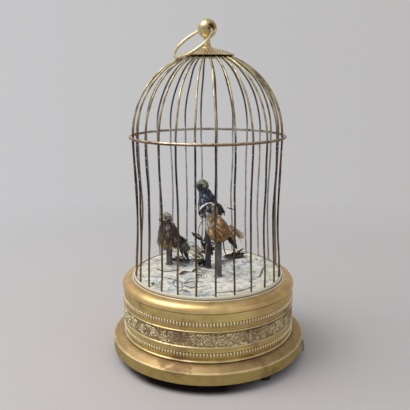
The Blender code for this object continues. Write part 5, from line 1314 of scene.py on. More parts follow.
class Torso:
    """Surface of a bird's body: an egg on a leaning axis that narrows into the neck."""

    def __init__(self, bird):
        tilt = radians(LEAN[bird])
        self.girth = BODY_RADIUS[bird]
        self.taper = BODY_TAPER[bird]
        self.along = Vector((sin(tilt), 0.0, cos(tilt)))
        self.back = Vector((-cos(tilt), 0.0, sin(tilt)))
        self.side = LEFT
        self.rump = Vector((BODY_FORWARD[bird], 0, BODY_RISE)) - self.along * BODY_LENGTH * 0.45
        self.neck = Vector((HEAD_FORWARD[bird], 0.0, HEAD_RISE - 0.0030))

    def centre(self, share):
        straight = self.rump + self.along * BODY_LENGTH * share
        bend = smooth(0.62, 1.0, share)
        return straight.lerp(self.neck, bend * 0.9)

    def radius(self, share):
        egg = self.girth * sin(pi * min(share, 0.999) ** self.taper) ** 0.75 if share > 0 else 0.0
        return max(egg, 0.0040 * smooth(0.55, 0.85, share))

    def point(self, share, around):
        """Point at an angle around the axis, 0 on the back and 90 on the left, and its normal."""
        angle = radians(around)
        outwards = self.back * cos(angle) + self.side * sin(angle)
        return self.centre(share) + outwards * self.radius(share), outwards


def feather_template(name):
    """Feather blade in its own frame: root at the origin, one long towards +X, one wide along Y."""
    item = fresh(name, bpy.ops.mesh.primitive_grid_add, x_subdivisions=5, y_subdivisions=2, size=1.0)
    for loop, corner in zip(item.data.loops, item.data.uv_layers.active.data):
        flat = item.data.vertices[loop.vertex_index].co
        corner.uv = (flat.y + 0.5, flat.x + 0.5)
    for vert in item.data.vertices:
        along = vert.co.x + 0.5
        side = vert.co.y * 2.0
        width = 0.5 * (0.22 + 0.78 * sin(pi * min(along, 1.0) ** 0.75) ** 0.7) if along < 0.99 else 0.10
        fold = 0.10 * (1 - abs(side)) - 0.10 * along * along
        vert.co = (along - 0.06 * abs(side) * along, side * width, fold)
    return item


def stray(amount):
    """Random number from -amount to amount."""
    return random.uniform(-amount, amount)


def blade(root, direction, up, long, wide, twist, tint):
    """Places a feather: its root, where it points, which way its upper side looks, and its colour."""
    x = direction.normalized()
    y = up.cross(x).normalized()
    turned = turned_onto(x, y, x.cross(y)) @ Matrix.Rotation(radians(twist), 4, "X")
    return Matrix.Translation(root) @ turned @ Matrix.Diagonal((long, wide, long * 0.9, 1.0)), tint


def vary(colour, amount):
    """The colour a little lighter or darker, and a little off in hue."""
    change = 1.0 + stray(amount)
    return tuple(max(c * change * (1.0 + stray(0.08)), 0.002) for c in colour)


def draw_lot(*choices):
    """One of the (share, colour) choices, by their shares."""
    ticket = random.random() * sum(share for share, _ in choices)
    for share, colour in choices:
        ticket -= share
        if ticket <= 0:
            return colour
    return choices[-1][1]


def body_tint(bird, share, around):
    """Colour of the plumage by place, around 0 on the back and 180 on the breast."""
    turn_away = abs((around + 180.0) % 360.0 - 180.0)
    if bird == "brown_bird":
        base = draw_lot((4, (0.085, 0.050, 0.040)), (3, (0.19, 0.122, 0.10)), (2, (0.030, 0.019, 0.016)),
                        (2, (0.40, 0.30, 0.24)))
        if turn_away > 95.0 and share < 0.50:
            base = draw_lot((3, (0.32, 0.21, 0.070)), (2, (0.12, 0.075, 0.035)), (1.5, (0.50, 0.39, 0.20)))
        if share < 0.16:
            base = draw_lot((2, (0.030, 0.022, 0.020)), (1, (0.085, 0.060, 0.022)))
        return vary(base, 0.30)
    if bird == "tawny_bird":
        base = draw_lot((4, (0.34, 0.155, 0.042)), (3, (0.50, 0.245, 0.072)), (2, (0.15, 0.070, 0.032)),
                        (0.8, (0.72, 0.52, 0.26)))
        if share > 0.66:
            base = draw_lot((3, (0.30, 0.21, 0.085)), (2, (0.36, 0.19, 0.07)), (1.5, (0.52, 0.47, 0.33)))
        if turn_away > 115.0 and share > 0.70:
            base = draw_lot((2, (0.62, 0.62, 0.56)), (1, (0.40, 0.36, 0.26)))
        if turn_away < 60.0 and share > 0.40:
            base = draw_lot((3, (0.44, 0.36, 0.26)), (2, (0.30, 0.22, 0.14)), (1, (0.60, 0.53, 0.42)))
        elif turn_away < 70.0:
            base = draw_lot((2, (0.34, 0.17, 0.05)), (1, (0.20, 0.18, 0.15)))
        if share < 0.30 and turn_away > 70.0:
            base = draw_lot((3, (0.22, 0.140, 0.035)), (2, (0.33, 0.145, 0.035)), (1, (0.30, 0.27, 0.20)))
        return vary(base, 0.24)
    base = draw_lot((6, (0.028, 0.050, 0.105)), (3, (0.014, 0.018, 0.028)), (2.4, (0.075, 0.115, 0.19)),
                    (1.5, (0.46, 0.50, 0.58)))
    if turn_away < 62.0:
        base = draw_lot((3, (0.032, 0.027, 0.028)), (1, (0.075, 0.062, 0.062)))
    return vary(base, 0.30)


def head_tint(bird, forward, height):
    """Colour on the head. Forward and height run from -1 to 1."""
    if bird == "brown_bird":
        base = draw_lot((2, (0.14, 0.112, 0.085)), (1, (0.060, 0.045, 0.036)))
        if height > 0.15:
            base = draw_lot((3, (0.52, 0.48, 0.37)), (2, (0.15, 0.125, 0.09)))
        return vary(base, 0.3)
    if bird == "tawny_bird":
        base = draw_lot((3, (0.38, 0.34, 0.20)), (1.5, (0.64, 0.61, 0.47)), (1, (0.090, 0.070, 0.040)))
        if forward > 0.30 and height < 0.10:
            base = (0.66, 0.69, 0.66)
        elif forward > 0.30:
            base = (0.020, 0.026, 0.026)
        return vary(base, 0.2)
    base = draw_lot((3, (0.035, 0.050, 0.075)), (1, (0.075, 0.080, 0.055)))
    if height > 0.10:
        base = draw_lot((4, (0.33, 0.34, 0.24)), (2, (0.17, 0.18, 0.10)), (1, (0.055, 0.060, 0.030)))
    if forward > 0.35 and height < 0.55:
        base = (0.020, 0.020, 0.018)
    return vary(base, 0.25)


def body_feathers(bird, torso):
    """Rows of blades from the rump to the neck, each lying back over the one below."""
    rows = sizes().feather_rows
    placements = []
    for row in range(rows):
        share = 0.06 + 0.88 * row / (rows - 1)
        girth = 2 * pi * torso.radius(share)
        long = FEATHER_LENGTH[bird] - 0.0030 * smooth(0.45, 0.9, share)
        wide = FEATHER_WIDTH[bird] - 0.0007 * smooth(0.5, 0.9, share)
        count = max(7, int(girth / (0.52 * wide)))
        for index in range(count):
            around = 360.0 * (index + 0.5 * (row % 2)) / count + stray(4)
            root, outwards = torso.point(share, around)
            lower, _ = torso.point(max(share - 0.06, 0.0), around)
            trail = (lower - root).normalized()
            normal = (outwards - trail * outwards.dot(trail)).normalized()
            lift = 0.08 + random.uniform(-0.05, 0.10)
            direction = trail + normal * lift + torso.side * stray(0.10)
            start = root - normal * 0.0005
            tip = start + direction.normalized() * long
            if min(tip.z, start.z) < POST_ROOM:
                continue
            tint = body_tint(bird, share, around)
            placements.append(blade(start, direction, normal, long * random.uniform(0.80, 1.15),
                                    wide * random.uniform(0.80, 1.15), stray(12), tint))
    return placements


WING_TINTS = per_bird(
    ((0.040, 0.027, 0.024), (0.080, 0.050, 0.042), (0.13, 0.088, 0.075)),
    ((0.42, 0.215, 0.068), (0.62, 0.33, 0.105), (0.54, 0.37, 0.20)),
    ((0.018, 0.016, 0.018), (0.030, 0.032, 0.042), (0.055, 0.065, 0.095)))
WING_REACH = per_bird(1.0, 1.35, 1.1)
STRAW = (0.90, 0.76, 0.46)


def wing_feathers(bird, torso):
    """Folded wings: long primaries, shorter secondaries and small coverts on each side."""
    placements = []
    dark, middle, light = WING_TINTS[bird]
    for hand in (-1, 1):
        for count, first, last, spread, long, wide, tint, stand in (
                (8, 0.60, 0.44, 26.0, 0.0175, 0.0036, dark, 0.0010),
                (9, 0.66, 0.50, 38.0, 0.0125, 0.0026, middle, 0.0017),
                (10, 0.76, 0.58, 46.0, 0.0080, 0.0024, light, 0.0021)):
            for index, step in enumerate(shares(count)):
                share = first + (last - first) * step
                around = hand * (34.0 + spread * step * 1.5)
                root, outwards = torso.point(share, around)
                rear, _ = torso.point(0.12, hand * (20.0 + 12.0 * step))
                trail = (rear - root).normalized()
                direction = trail + outwards * (0.08 + 0.03 * step)
                start = root + outwards * stand
                streak = bird == "tawny_bird" and tint is not dark and index % 3 == 1
                reach = WING_REACH[bird] * long * (1.0 - 0.22 * step)
                placements.append(blade(start, direction, outwards, reach, wide * (0.6 if streak else 1.0),
                                        stray(8), vary(STRAW if streak else tint, 0.22)))
    return placements


TAIL_TINTS = per_bird(((0.030, 0.022, 0.020), (0.075, 0.058, 0.045)),
                      ((0.46, 0.30, 0.13), (0.62, 0.55, 0.38)),
                      ((0.020, 0.020, 0.026), (0.070, 0.068, 0.075)))
TAIL_LENGTH = per_bird(0.0150, 0.0150, 0.0105)
TAIL_DROOP = per_bird(0.55, 0.25, 0.35)


def tail_feathers(bird, hinge):
    """Loose blades fanned from the tail's hinge, turned every way, in the bird's own frame."""
    slope = radians(TAIL_SLOPE[bird])
    trail = Vector((-cos(slope), 0.0, -sin(slope)))
    upper = Vector((-sin(slope), 0.0, cos(slope)))
    plain, odd = TAIL_TINTS[bird]
    placements = []
    for layer in range(3):
        for share in shares(9 - 2 * layer):
            step = share * 2.0 - 1.0
            direction = trail + LEFT * (0.22 * step) + upper * random.uniform(-0.30, 0.16)
            direction.z -= TAIL_DROOP[bird] * random.random()
            start = hinge + upper * (0.0007 + 0.0004 * layer) + LEFT * (0.0013 * step) + trail * 0.0010
            long = TAIL_LENGTH[bird] * (1.0, 0.75, 0.55)[layer] * random.uniform(0.75, 1.0)
            tint = odd if random.random() < 0.35 else plain
            placements.append(blade(start, direction, upper, long, random.uniform(0.0012, 0.0026),
                                    stray(65), vary(tint, 0.25)))
    return placements


def head_feathers(bird, centre):
    placements = []
    rows = 11
    for row in range(rows):
        dip = radians(26.0 + 140.0 * row / (rows - 1))
        circle = HEAD_RADIUS * sin(dip)
        count = max(6, int(2 * pi * circle / 0.0010))
        for index in range(count):
            around = 2 * pi * (index + 0.5 * (row % 2)) / count
            normal = Vector((cos(dip), sin(dip) * sin(around), sin(dip) * cos(around)))
            root = centre + Vector((normal.x * 1.02, normal.y * 0.94, normal.z)) * HEAD_RADIUS
            trail = Vector((-0.8, 0.0, -0.75))
            direction = (trail - normal * trail.dot(normal)).normalized()
            direction += normal * random.uniform(0.04, 0.18)
            tint = head_tint(bird, normal.x, normal.z)
            placements.append(blade(root - normal * 0.0003, direction, normal,
                                    random.uniform(0.0022, 0.0032), 0.0013, stray(20), tint))
    return placements


def lofted(name, rings, steps):
    """Closed skin through rings of points, given as (centre, radius along a, radius along b, a, b)."""
    bm = bmesh.new()
    angles = [2 * pi * i / steps for i in range(steps)]
    rows = [[bm.verts.new(centre + a * wide * cos(angle) + b * tall * sin(angle)) for angle in angles]
            for centre, wide, tall, a, b in rings]
    for lower, upper in zip(rows, rows[1:]):
        for i in range(steps):
            j = (i + 1) % steps
            bm.faces.new((lower[i], lower[j], upper[j], upper[i]))
    bm.faces.new(rows[0][::-1])
    bm.faces.new(rows[-1])
    bmesh.ops.recalc_face_normals(bm, faces=bm.faces)
    mesh = bpy.data.meshes.new(name)
    bm.to_mesh(mesh)
    bm.free()
    mesh.shade_smooth()
    return link(name, mesh)


def tint_all(item, colour):
    """Gives a plain skin the same tint attribute and UV map as the feathers over it."""
    mesh = item.data
    if not mesh.uv_layers:
        mesh.uv_layers.new(name="blade")
    mesh.uv_layers.active.name = "blade"
    attribute = mesh.color_attributes.new("tint", "FLOAT_COLOR", "POINT")
    attribute.data.foreach_set("color", [x for _ in mesh.vertices for x in (*colour, 1.0)])


def path_through(points, count=9):
    """Smooth path through the points."""
    rows = [Vector(p) for p in points]
    rows = [rows[0] * 2 - rows[1]] + rows + [rows[-1] * 2 - rows[-2]]
    path = []
    for share in shares(count + 1):
        place = share * (len(points) - 1)
        step = min(int(place), len(points) - 2)
        t = place - step
        a, b, c, d = rows[step:step + 4]
        path.append(((b * 2) + (c - a) * t + (a * 2 - b * 5 + c * 4 - d) * t ** 2
                     + (b * 3 - a - c * 3 + d) * t ** 3) * 0.5)
    return path


def heading(path, index):
    """From the point before to the point after."""
    return path[min(index + 1, len(path) - 1)] - path[max(index - 1, 0)]


def horn(name, points, size, tip, flat=0.8):
    """Tapered curved beak with round sections, from root to tip."""
    steps = 12
    path = path_through(points, steps)
    rings = []
    for index, middle in enumerate(path):
        ahead = heading(path, index).normalized()
        wide = size + (tip - size) * (index / steps) ** 1.6
        rings.append((middle, wide * flat, wide, LEFT, ahead.cross(LEFT)))
    return lofted(name, rings, steps)


# Beaks from root to tip, forward and up from the middle of the head
BEAKS = per_bird(
    (((0.0036, 0.0004), (0.0052, 0.0003), (0.0068, -0.0004)), 0.0009),
    (((0.0034, 0.0018), (0.0068, 0.0020), (0.0089, 0.0002), (0.0093, -0.0024), (0.0085, -0.0044)), 0.0016),
    (((0.0036, 0.0002), (0.0054, 0.0004), (0.0074, -0.0003)), 0.0009))


class MakeBirds(bpy.types.Operator):
    """Three feathered birds: body, wings, head, beak, tail, legs and post"""
    bl_idname = "bird_cage.birds"
    bl_label = "Birds"

    def execute(self, context):
        feather = feather_template("feather")
        for number, bird in enumerate(BIRD_NAMES):
            random.seed(100 + number)
            self.make_bird(bird, feather)
        bpy.data.objects.remove(feather)
        return {"FINISHED"}

    def make_bird(self, bird, feather):
        perch = bird_perch(bird)
        slot = bird.replace("bird", "feather")
        torso = Torso(bird)
        rings = []
        count = 18
        for index in range(count):
            share = 0.01 + 0.97 * index / (count - 1)
            radius = max(torso.radius(share) - 0.0006, 0.0002)
            rings.append((torso.centre(share), radius, radius, torso.back, torso.side))
        skin = lofted(bird + "_skin", rings, 20)
        tint_all(skin, body_tint(bird, 0.5, 90.0))
        feathers = scatter(bird + "_coat", feather, body_feathers(bird, torso) + wing_feathers(bird, torso))
        body = join(bird + "_plumage", [skin, feathers])
        for vert in body.data.vertices:
            vert.co.z = max(vert.co.z, POST_ROOM)
        seat(body, slot, "plume", bird + "_body", perch=perch)

        centre = Vector((HEAD_FORWARD[bird], 0.0, HEAD_RISE))
        rings = []
        for index in range(11):
            angle = radians(4.0 + 172.0 * index / 10)
            rings.append((centre + Vector((HEAD_RADIUS * 1.02 * -cos(angle), 0.0, 0.0)),
                          HEAD_RADIUS * 0.90 * sin(angle), HEAD_RADIUS * 0.96 * sin(angle), LEFT, UP))
        skull = lofted(bird + "_skull", rings, 20)
        tint_all(skull, head_tint(bird, 0.0, 0.5))
        parts = [skull, scatter(bird + "_down", feather, head_feathers(bird, centre))]
        if bird == "tawny_bird":
            parts.append(self.make_crest(centre))
        head = join(bird + "_head_feathers", parts)
        seat(head, slot, "plume", bird + "_head", body=bird + "_head", perch=perch)
        self.make_face(bird, perch, centre)

        hinge = perch.inverted() @ Vector(JOINTS[bird + "_tail_lift"]["pos_m"])
        fan = scatter(bird + "_tail_feathers", feather, tail_feathers(bird, hinge))
        seat(fan, slot, "plume", bird + "_tail", body=bird + "_tail", perch=perch)
        self.make_post(bird)
        self.make_legs(bird, perch)

    def make_crest(self, centre):
        """Pale brow that arches from the top of the beak over the crown."""
        crest = horn("crest", [centre + Vector((x, 0.0, z)) for x, z in (
            (0.0092, 0.0004), (0.0068, 0.0036), (0.0026, 0.0058), (-0.0008, 0.0058), (-0.0034, 0.0032))],
            0.00075, 0.0004, 1.5)
        tint_all(crest, (0.84, 0.82, 0.79))
        return crest

    def make_face(self, bird, perch, centre):
        """Upper beak, lower beak and glass eyes."""
        points, size = BEAKS[bird]
        upper = horn(bird + "_upper_beak", [centre + Vector((x, 0.0, z)) for x, z in points], size, 0.00015)
        hinge = perch.inverted() @ Vector(JOINTS[bird + "_beak_open"]["pos_m"])
        reach = 0.0034 if bird == "tawny_bird" else 0.0030
        tip = Vector((centre.x + HEAD_RADIUS * 0.72 + reach, 0.0, centre.z - 0.0014))
        lower = horn(bird + "_lower_beak", [hinge, hinge.lerp(tip, 0.5), tip], size * 0.7, 0.00012)
        eyes = []
        for hand in (-1, 1):
            eye = sphere("eye", 16, 10, 0.00095)
            out = Vector((HEAD_RADIUS * 0.40, hand * HEAD_RADIUS * 0.82, HEAD_RADIUS * 0.28))
            eye.location = centre + out
            bpy.ops.object.shade_smooth()
            settle()
            eyes.append(eye)
        eyes = join(bird + "_eyes", eyes)
        seat(upper, "beak_black", "beak", body=bird + "_head", perch=perch)
        seat(lower, "beak_black", "beak", bird + "_beak", body=bird + "_beak", perch=perch)
        seat(eyes, "beak_black", "eye", body=bird + "_head", perch=perch)

    def make_post(self, bird):
        """Rolled tube with its seam and a flared foot."""
        low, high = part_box(bird + "_post")
        foot = TRAY_TOP - 0.0002
        bore = 0.0010
        radius = (high.x - low.x) / 2
        tenon = 0.0019
        profile = [(bore, low.z), (tenon, low.z), (tenon, foot), (radius + 0.0009, foot),
                   (radius + 0.0007, foot + 0.0006), (radius, foot + 0.0013), (radius, high.z - 0.0004),
                   (radius - 0.0004, high.z), (bore, high.z), (bore, low.z)]
        post = turn(bird + "_tube", profile, 40, 35.0)
        for vert in post.data.vertices:
            angle = atan2(vert.co.y, vert.co.x)
            if hypot(vert.co.x, vert.co.y) > 0.9 * radius:
                groove = exp(-((degrees(angle) + 60.0) / 6.0) ** 2)
                vert.co.xy *= 1.0 - 0.10 * groove
        post.location = (*footprint(bird + "_post"), 0.0)
        finish = "dark_tube" if bird == "blue_bird" else "tube"
        seat(post, "grey_tube", finish, bird + "_post")

    def make_legs(self, bird, perch):
        """Thin bound legs that grip the top of the post."""
        parts = []
        for hand in (-1, 1):
            knee = Vector((0.0026, hand * 0.0030, 0.0038))
            ankle = Vector((0.0030, hand * 0.0021, -0.0008))
            parts.append(wire("leg", [Vector((0.0006, hand * 0.0030, 0.0070)), knee, ankle], 0.00038, 1))
            for toe in (-28.0, 0.0, 28.0):
                reach = Matrix.Rotation(radians(toe), 3, "Z") @ Vector((0.0026, 0.0, 0.0))
                parts.append(wire("toe", [ankle, ankle + reach + Vector((0, 0, 0.0004)),
                                          ankle + reach * 1.35 + Vector((0, 0, -0.0010))], 0.00028, 1,
                                  widths=[1.1, 0.9, 0.3]))
        legs = join(bird + "_legs", parts)
        seat(legs, "beak_black", "beak", perch=perch)


# Loose feathers, dry leaves and stalks that lie between the birds, in millimetres

BLACK = (0.016, 0.014, 0.014)
UMBER = (0.060, 0.036, 0.028)
CREAM = (0.80, 0.75, 0.60)
DUSTY_PINK = (0.46, 0.33, 0.26)
OLIVE_GREY = (0.24, 0.25, 0.185)
BLUE_BLACK = (0.020, 0.030, 0.042)
# A blade that stays under this height lies on the ground. The others show their flat side to the front.
LYING_BELOW = 71.0
TO_THE_FRONT = Vector((-0.36, -0.89, 0.28))

# Colour, width and the points that the blade follows
LOOSE_BLADES = (
    (BLACK, 2.6, ((-9.8, 12.6, 99.5), (-7.1, 11.5, 96.4), (-3.9, 10.2, 93.7), (0.0, 8.6, 91.1))),
    (UMBER, 1.6, ((-6.2, 10.6, 98.2), (-3.4, 10.0, 96.0), (0.0, 8.6, 91.1))),
    (BLACK, 1.5, ((0.0, 8.6, 90.6), (1.1, 9.2, 93.9), (3.1, 9.5, 98.9))),
    (BLACK, 5.0, ((0.5, 8.4, 90.6), (4.6, 10.9, 85.4), (7.5, 11.3, 78.5))),
    (BLUE_BLACK, 3.2, ((1.6, 8.0, 89.0), (3.0, 9.6, 83.4), (3.6, 10.3, 76.0))),
    (DUSTY_PINK, 1.0, ((0.5, 3.0, 91.3), (-0.5, 3.4, 85.1), (-0.7, 3.5, 78.5))),
    (CREAM, 4.4, ((-0.6, 10.8, 79.4), (-5.2, 11.8, 84.0), (-11.7, 14.0, 88.0))),
    (CREAM, 3.2, ((0.6, 9.6, 76.4), (-4.8, 9.8, 79.8), (-13.6, 11.2, 81.6))),
    (UMBER, 1.2, ((-0.2, 9.2, 77.6), (-4.9, 9.4, 81.2), (-11.9, 12.0, 85.0))),
    (UMBER, 1.0, ((0.4, 9.2, 75.0), (-5.0, 9.2, 75.2), (-12.4, 9.4, 77.4))),
    (CREAM, 2.2, ((0.4, 10.4, 80.4), (-3.2, 11.4, 83.8), (-6.0, 12.6, 86.8))),
    (DUSTY_PINK, 1.7, ((0.7, 10.5, 77.6), (-4.8, 10.6, 79.1), (-12.6, 11.6, 83.2))),
    (CREAM, 1.5, ((0.3, 9.6, 76.1), (-6.0, 10.0, 75.8), (-12.6, 10.5, 79.2))),
    (DUSTY_PINK, 1.5, ((-0.5, 9.9, 75.2), (-5.2, 9.7, 73.9), (-10.8, 9.4, 76.0))),
    (UMBER, 1.3, ((0.6, 10.0, 78.4), (-5.4, 10.3, 77.4), (-11.6, 10.9, 81.0))),
    (CREAM, 1.3, ((-3.0, 9.8, 74.4), (-8.0, 9.5, 73.2), (-13.0, 9.2, 74.4))),
    (BLACK, 4.4, ((-16.5, 21.8, 92.5), (-15.3, 20.2, 85.6), (-13.3, 17.2, 79.1), (-11.6, 14.4, 73.4))),
    (BLACK, 2.4, ((-16.4, 20.7, 91.0), (-17.2, 19.9, 84.2), (-15.6, 16.0, 75.0))),
    (UMBER, 1.2, ((-16.0, 21.0, 90.0), (-13.0, 19.6, 90.6), (-10.6, 18.2, 91.6))),
    (BLACK, 3.0, ((20.6, 19.9, 69.8), (28.5, 18.1, 70.6), (38.7, 18.9, 70.0), (47.3, 20.3, 69.4))),
    (UMBER, 2.2, ((24.0, 22.4, 69.4), (32.5, 23.1, 70.4), (41.7, 22.9, 69.8))),
    (UMBER, 1.8, ((37.8, 27.7, 69.6), (43.9, 30.0, 71.4), (49.3, 32.7, 72.6))),
    (BLACK, 3.4, ((-18.2, 33.3, 69.4), (-10.9, 28.3, 70.6), (-2.3, 25.2, 69.8), (6.9, 21.7, 69.2))),
    (UMBER, 2.6, ((-20.2, 28.3, 69.4), (-12.9, 25.3, 70.4), (-5.3, 23.2, 69.4))),
    # A black blade on the ground right of the tawny bird's post, laid there as painted shade.
    (BLACK, 3.2, ((16.4, 12.7, 69.3), (22.0, 14.0, 70.0), (30.8, 14.4, 69.3))),
    (BLACK, 1.6, ((-20.6, 17.3, 69.3), (-16.2, 16.9, 69.9), (-14.4, 11.9, 69.2))),
    (UMBER, 1.8, ((-26.7, -3.9, 69.2), (-21.8, -1.3, 70.2), (-17.8, 0.2, 69.3))),
    (BLACK, 1.5, ((-14.2, -1.2, 69.2), (-10.2, 2.2, 70.0), (-6.2, 2.6, 69.2))),
    (UMBER, 1.4, ((-8.4, -4.4, 69.2), (-3.8, -3.0, 70.0), (0.6, -3.8, 69.2))),
    (STRAW, 1.0, ((-31.0, -8.0, 69.2), (-26.0, -6.4, 69.8), (-20.5, -7.6, 69.2))),
    (BLACK, 2.0, ((-26.9, -2.9, 69.3), (-20.6, 1.3, 69.9), (-15.1, -2.3, 69.3))),
    (BLACK, 1.8, ((-15.5, -1.5, 69.3), (-9.1, 3.3, 69.9), (-4.7, -1.4, 69.3))),
    (UMBER, 1.8, ((-14.5, -13.4, 69.3), (-11.8, -10.4, 69.9), (-7.8, -9.9, 69.3))),
    (BLACK, 2.4, ((-0.8, 6.5, 69.3), (3.0, 0.7, 69.9), (12.0, -1.2, 69.3))),
    (BLACK, 3.6, ((24.4, 25.7, 69.4), (33.6, 27.5, 70.0), (42.0, 22.7, 69.4))),
    (UMBER, 2.8, ((28.0, 20.0, 69.4), (36.0, 20.6, 70.2), (46.8, 15.1, 69.4))),
    (BLACK, 2.4, ((30.0, 24.0, 69.6), (38.0, 22.0, 71.6), (46.0, 19.0, 72.0))),
    (BLACK, 3.4, ((-19.3, 40.3, 69.4), (-13.7, 31.7, 70.0), (-4.6, 25.0, 69.4))),
    (BLACK, 3.6, ((-2.5, 29.0, 69.4), (3.2, 21.4, 70.0), (7.4, 11.0, 69.4))),
    (UMBER, 1.5, ((-40.3, -36.8, 69.0), (-35.0, -37.2, 69.5), (-32.2, -42.1, 69.0))),
    (UMBER, 1.4, ((-54.1, -11.7, 68.9), (-52.6, -14.3, 69.2), (-53.8, -17.3, 68.9))),
    (UMBER, 3.0, ((2.6, 6.6, 97.0), (4.2, 7.2, 90.0), (6.4, 8.0, 83.0), (7.4, 8.6, 77.0))),
    (BLACK, 2.8, ((-3.0, 9.0, 92.0), (0.6, 8.6, 86.0), (1.6, 8.6, 79.0))),
    (UMBER, 2.2, ((-2.2, 9.2, 84.0), (1.2, 8.4, 80.0), (3.4, 8.4, 75.0))),
    (CREAM, 1.6, ((-1.0, 10.6, 82.0), (-5.6, 11.6, 85.6), (-9.4, 13.0, 88.6))),
    (OLIVE_GREY, 1.2, ((-0.6, 10.0, 77.0), (-6.2, 10.6, 78.4), (-11.6, 11.8, 81.6))),
    (BLUE_BLACK, 1.8, ((13.3, 5.4, 118.9), (16.2, 5.0, 116.5), (17.4, 4.6, 112.6))),
    (BLACK, 2.6, ((10.6, 5.0, 120.4), (12.4, 4.2, 114.6), (12.0, 3.6, 109.6))),
    (CREAM, 1.0, ((13.7, 5.3, 121.4), (17.2, 4.9, 122.3), (21.9, 4.6, 122.7))),
    (BLACK, 0.9, ((18.6, 3.9, 119.9), (22.7, 3.3, 118.7), (26.4, 2.5, 117.0))),
    (BLACK, 6.0, ((7.6, -19.6, 104.4), (12.2, -19.4, 99.6), (17.9, -19.2, 90.4))),
    (STRAW, 1.3, ((14.6, -16.1, 104.3), (21.5, -15.1, 98.2), (25.0, -15.5, 91.4))),
    (CREAM, 1.2, ((15.0, -16.4, 104.8), (22.2, -15.4, 101.1), (25.8, -15.2, 95.3))),
    (DUSTY_PINK, 1.2, ((14.3, -16.0, 104.6), (20.2, -15.4, 103.4), (26.0, -15.9, 102.3))),
)
# Width, colour and points of the round stalks
STALKS = (
    (0.42, OLIVE_GREY, ((-5.8, -4.1, 113.9), (-6.0, 2.4, 107.7), (-5.6, 6.6, 102.3), (-3.9, 9.1, 96.2),
                        (-0.8, 9.0, 91.5))),
    (0.40, OLIVE_GREY, ((-0.1, 10.8, 80.1), (-5.4, 12.1, 87.8), (-11.1, 14.2, 90.2), (-14.6, 16.4, 88.6))),
    (0.40, UMBER, ((-39.5, 16.8, 69.2), (-34.6, 8.5, 69.3), (-26.8, 7.3, 69.2), (-21.0, 9.0, 69.2))),
    (0.60, BLACK, ((11.9, -4.8, 93.8), (13.3, -4.3, 84.8), (16.0, -4.3, 79.4), (18.6, -3.8, 78.0))),
    (0.42, BLACK, ((14.6, -4.4, 82.0), (14.2, -5.0, 79.2), (16.4, -6.4, 77.6))),
    (0.30, UMBER, ((-28.2, -21.3, 69.2), (-23.3, -17.2, 69.3), (-16.9, -16.1, 69.4), (-10.8, -18.1, 69.2))),
    (0.30, BLACK, ((-31.1, -28.3, 69.2), (-28.6, -33.9, 69.3), (-23.7, -36.2, 69.3), (-17.5, -35.1, 69.2))),
    (0.26, BLACK, ((-30.4, -24.7, 69.2), (-22.6, -22.4, 69.4), (-15.8, -26.7, 69.3), (-20.0, -31.5, 69.2))),
)
# Colour, middle, spread on each axis, how many blades and how long they are
TUFTS = ((OLIVE_GREY, (-13.4, 17.6, 84.6), (3.2, 2.4, 4.0), 120, 3.4),
         (BLUE_BLACK, (1.6, 11.6, 71.0), (4.6, 3.4, 2.0), 90, 4.2),
         (BLACK, (12.9, 5.2, 118.6), (1.8, 1.6, 2.4), 40, 3.4),
         (BLACK, (35.0, 22.0, 69.8), (8.0, 4.0, 1.6), 70, 4.0),
         (UMBER, (4.6, 7.6, 84.0), (2.6, 2.0, 6.0), 70, 4.4),
         (UMBER, (-15.0, 33.0, 69.8), (6.0, 5.0, 1.2), 50, 3.6),
         (BLACK, (-4.4, 10.4, 74.0), (3.8, 2.6, 2.0), 40, 3.6))


class MakeLitter(bpy.types.Operator):
    """Loose feathers, dry leaves, stalks and tufts between the birds and on the ground"""
    bl_idname = "bird_cage.litter"
    bl_label = "Loose feathers and leaves"

    def execute(self, context):
        random.seed(31)
        parts = [self.make_blade(*row) for row in LOOSE_BLADES]
        steps = 14
        for size, colour, points in STALKS:
            path = path_through([Vector(p) / 1000 for p in points], steps)
            thinning = [1.0 - 0.5 * i / steps for i in range(steps + 1)]
            stalk = wire("stalk", path, size / 1000, 1, thinning)
            tint_all(stalk, colour)
            parts.append(stalk)
        feather = feather_template("tuft_blade")
        placements = []
        for colour, middle, spread, count, long in TUFTS:
            for _ in range(count):
                way = Vector([random.gauss(0, 1) for _ in range(3)]).normalized()
                root = Vector([(m + s * w * random.random()) / 1000 for m, s, w in zip(middle, spread, way)])
                if root.z < TRAY_TOP:
                    root.z = TRAY_TOP
                    way.z = abs(way.z)
                facing = way.cross(Vector((random.random(), 0.3, 1.0)))
                direction = way * 0.8 + Vector((0.0, 0.0, -0.2 if root.z > TRAY_TOP + 0.004 else 0.25))
                placements.append(blade(root, direction, facing, long / 1000 * random.uniform(0.6, 1.1),
                                        0.0011, stray(40), vary(colour, 0.45)))
        parts.append(scatter("tufts", feather, placements))
        bpy.data.objects.remove(feather)
        litter = join("loose_feathers_and_leaves", parts)
        seat(litter, "brown_feather", "litter")
        return {"FINISHED"}

    def make_blade(self, colour, wide, points):
        """A curved blade, pointed at both ends and folded along its shaft."""
        steps = 10
        path = path_through([Vector(p) / 1000 for p in points], steps)
        out = UP if max(z for _, _, z in points) < LYING_BELOW else TO_THE_FRONT
        verts = []
        corners = []
        for index, share in enumerate(shares(steps + 1)):
            here = path[index]
            side = heading(path, index).cross(out).normalized()
            half = wide / 2000 * (0.10 + 0.90 * sin(pi * share ** 0.8) ** 0.8) * random.uniform(0.85, 1.1)
            verts += [here - side * half, here + out * half * 0.30, here + side * half]
            corners += [(0.0, share), (0.5, share), (1.0, share)]
        faces = [(a, a + 1, a + 4, a + 3) for row in range(steps) for a in (3 * row, 3 * row + 1)]
        mesh = bpy.data.meshes.new("loose_blade")
        mesh.from_pydata(verts, [], faces)
        layer = mesh.uv_layers.new(name="blade")
        for loop, corner in zip(mesh.loops, layer.data):
            corner.uv = corners[loop.vertex_index]
        mesh.shade_smooth()
        item = link("loose_blade", mesh)
        tint_all(item, vary(colour, 0.15))
        return item


